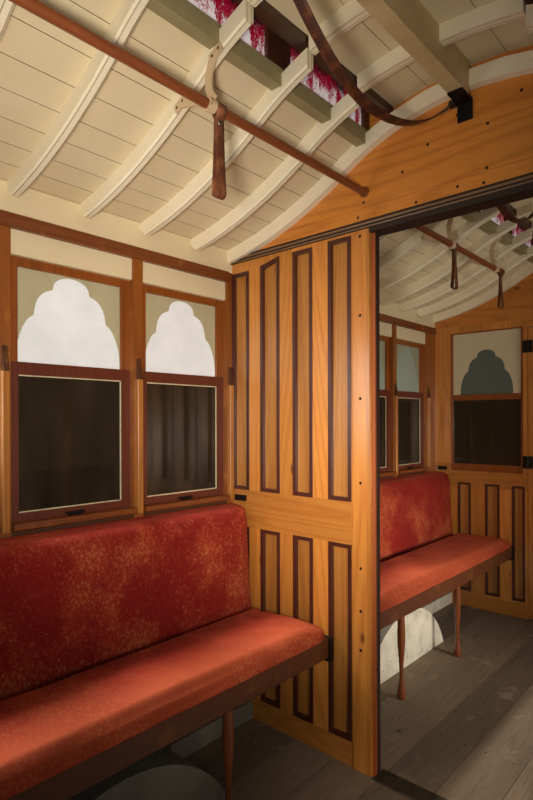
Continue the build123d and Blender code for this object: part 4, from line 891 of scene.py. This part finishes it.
seat_low, seat_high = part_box("seat_cushions")
back_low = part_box("back_cushions")[0]
board_top = seat_low.z
shrink = 0.006
corner = 0.06
runs = (("near", seat_low.y, bulkhead_near - 0.009), ("far", bulkhead_far + 0.009, seat_high.y))
for label, start, stop in runs:
    front = seat_high.x - shrink
    rear = seat_low.x + 0.002
    plan = [(rear, start + 0.002), (rear, stop - 0.002)]
    turns = [(front - corner, stop - 0.002 - corner, 90), (front - corner, start + 0.002 + corner, 0)]
    for cx, cy, first in turns:
        for n in range(7):
            angle = math.radians(first - n * 15)
            plan.append((cx + corner * math.cos(angle), cy + corner * math.sin(angle)))
    outline = [Vector((x, y, board_top)) for x, y in plan]
    seat = stuffed(label + "_seat_cushion", outline, Vector((0, 0, seat_high.z - board_top - shrink)), 0.012,
                   lambda point: point.z < board_top + 0.004,
                   lambda point: point.z > board_top + 0.02, 0.028)
    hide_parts("seat_cushions")
    # A back's profile as (x, z), from its foot up the front and over the roll
    profile = [(back_low.x + 0.001, board_top + 0.002), (-0.862, board_top + 0.002), (-0.884, 0.93),
               (-0.893, 0.975), (-0.912, 0.992), (-0.94, 0.998), (back_low.x + 0.001, 0.996)]
    outline = [Vector((x, start + 0.003, z)) for x, z in profile]
    back = stuffed(label + "_back_cushion", outline, Vector((0, stop - start - 0.006, 0)), 0.010,
                   lambda point: point.x < back_low.x + 0.006,
                   lambda point: (point.x > back_low.x + 0.02
                                  and min(point.y - start, stop - point.y) < 0.005), 0.012)
    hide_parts("back_cushions")

# Hand poles and their brackets: a turned ash pole varnished red-brown, and flat iron brackets painted
# cream with the ceiling, screwed to the ribs
pole_ash = timber("red-brown varnished ash pole", "#8E4C26", "#653014", along="Y", rough=0.36, coat=0.3)
cream_iron = old_paint("cream painted iron", "#D9BE9A", "#A98C66", rough=0.4, chip="#5B4A32")
dress(["hand_poles"], pole_ash)
dress(["pole_brackets"], cream_iron, 0.0012)

# Strap hangers: a leather strap looped over the pole, its two plies joined by one riveted eyelet just
# below and left open at the foot as a grip
ring_radius = 0.0129
ply = 0.004
strap_width = 0.030
grip_radius = 0.011
neck_drop, neck_long = 0.027, 0.012
eyelet_foot, eyelet_top, eyelet_thick, eyelet_drop = 0.0078, 0.0066, 0.0022, 0.007
eyelet_steel = surface("dull nickelled eyelet", Metallic=1.0, Roughness=0.35, Base_Color="#9A958C")[0]
for joint in frame["joints"]:
    if not joint["name"].startswith("strap_"):
        continue
    body = joint["child"]
    node = "strap_hanger_" + body.split("_")[1]
    pole = Vector(joint["pos_m"])
    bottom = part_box(node)[0].z
    bow = bottom + grip_radius + ply / 2
    neck = pole.z - neck_drop
    neck_foot = neck - neck_long
    narrow = ply * 0.7
    mid = ring_radius + ply / 2
    line = []
    for n in range(25):
        angle = math.radians(-52 + n * (284 / 24))
        line.append((mid * math.cos(angle), pole.z + mid * math.sin(angle)))
    down = [(-ply * 0.55, neck), (-narrow, neck_foot)]
    for n in range(1, 10):
        share = n / 10
        out = narrow + (grip_radius - narrow) * share**1.6
        down.append((-out, neck_foot + (bow - neck_foot) * share))
    line += down
    for n in range(13):
        angle = math.radians(180 + n * 15)
        line.append((grip_radius * math.cos(angle), bow + grip_radius * math.sin(angle)))
    line += [(-x, z) for x, z in reversed(down)]
    line = [Vector((pole.x + x, pole.y, z)) for x, z in line]
    loop = ribbon(line, [Vector((0, 1, 0))] * len(line), strap_width, ply, closed=True)
    strap = fit(node + "_leather", loop, strap_leather, body)
    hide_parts(node)
    eyelet = bmesh.new()
    turn = Matrix.Rotation(math.radians(90), 4, "Y")
    for side in (-1, 1):
        ring_at = Matrix.Translation((pole.x + side * (ply + eyelet_thick), pole.y, neck - eyelet_drop))
        bmesh.ops.create_cone(eyelet, segments=20, radius1=eyelet_foot, radius2=eyelet_top, depth=eyelet_thick,
                              cap_ends=True, matrix=ring_at @ turn)
    fit(node + "_eyelet", eyelet, eyelet_steel, body)

# Bolts and screws: coach bolts through the bulkhead's right stile, screws in the header board and the
# pole brackets, all gone dark with age
stile_x = -0.368
cover_thick = 0.005
bolt_heights = (1.842, 1.570, 1.284, 0.994, 0.700, 0.553, 0.419)
bulkhead_bolts = [Vector((stile_x, bulkhead_near - cover_thick, floor_level + height))
                  for height in bolt_heights]
heads("bulkhead_bolts", bulkhead_bolts, 0.0055, (0, -1, 0))
header_spots = [(-0.379, 1.910), (-0.356, 1.956), (-0.358, 1.994), (-0.209, 2.016), (-0.161, 1.905),
                (-0.121, 2.076), (-0.025, 1.916), (-0.025, 2.133), (0.054, 1.905), (0.063, 1.946),
                (0.066, 2.075), (0.160, 2.134), (0.23, 1.912), (0.27, 2.04)]
header_screws = [Vector((x, bulkhead_near, floor_level + z)) for x, z in header_spots]
heads("header_screws", header_screws, 0.0048, (0, -1, 0))
# Each bracket's two feet are set on the side of a rib, with two screws in a foot along the roof's slope
foot_tilt, screw_apart, foot_face = math.radians(24), 0.024, 0.020
along_foot = (screw_apart / 2 * math.cos(foot_tilt), screw_apart / 2 * math.sin(foot_tilt))
feet = [(-0.478, floor_level + 2.044), (-0.340, floor_level + 2.120)]
for label, bracket_y, way in (("near_a", -0.682, -1), ("near_b", -1.387, 1), ("far_a", 0.727, -1),
                              ("far_b", 1.197, 1)):
    spots = [Vector((x + end * along_foot[0], bracket_y + way * foot_face, z + end * along_foot[1]))
             for x, z in feet for end in (-1, 1)]
    heads("bracket_screws_" + label, spots, 0.0038, (0, way, 0))

# Cover strip on the bulkhead's last stile, with a rounded left edge, and two lighter beads along the
# head rail. All are planed pine, pinned on and varnished with their frame
cover = bmesh.new()
cover_left, cover_right = -0.4035, -0.3315
slab(cover, (cover_left, bulkhead_near - cover_thick, floor_level),
     (cover_right, bulkhead_near, floor_level + 1.845))
round_edge = [edge for edge in cover.edges
              if all(end.co.x < cover_left + 0.001 and end.co.y < bulkhead_near - 0.001
                     for end in edge.verts)]
bmesh.ops.bevel(cover, geom=round_edge, offset=0.0045, segments=4, profile=0.5, affect="EDGES")
fit("stile_cover", cover, golden_frame)

rail_low, rail_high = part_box("head_rail")
bead_left, bead_out = -0.985, 0.003
bead_strip = bmesh.new()
for face in (rail_low.y, rail_high.y):
    for top, foot in ((0.008, 0.015), (0.0215, 0.0265)):
        slab(bead_strip, (bead_left, face - bead_out, rail_high.z - foot),
             (rail_high.x, face + bead_out, rail_high.z - top))
bmesh.ops.bevel(bead_strip, geom=bead_strip.edges[:], offset=0.0015, segments=2, profile=0.5, affect="EDGES")
bead_pine = timber("rubbed bead pine", "#8F6C4C", "#5C4028", along="X", rough=0.35, coat=0.3)
fit("head_rail_bead", bead_strip, bead_pine)
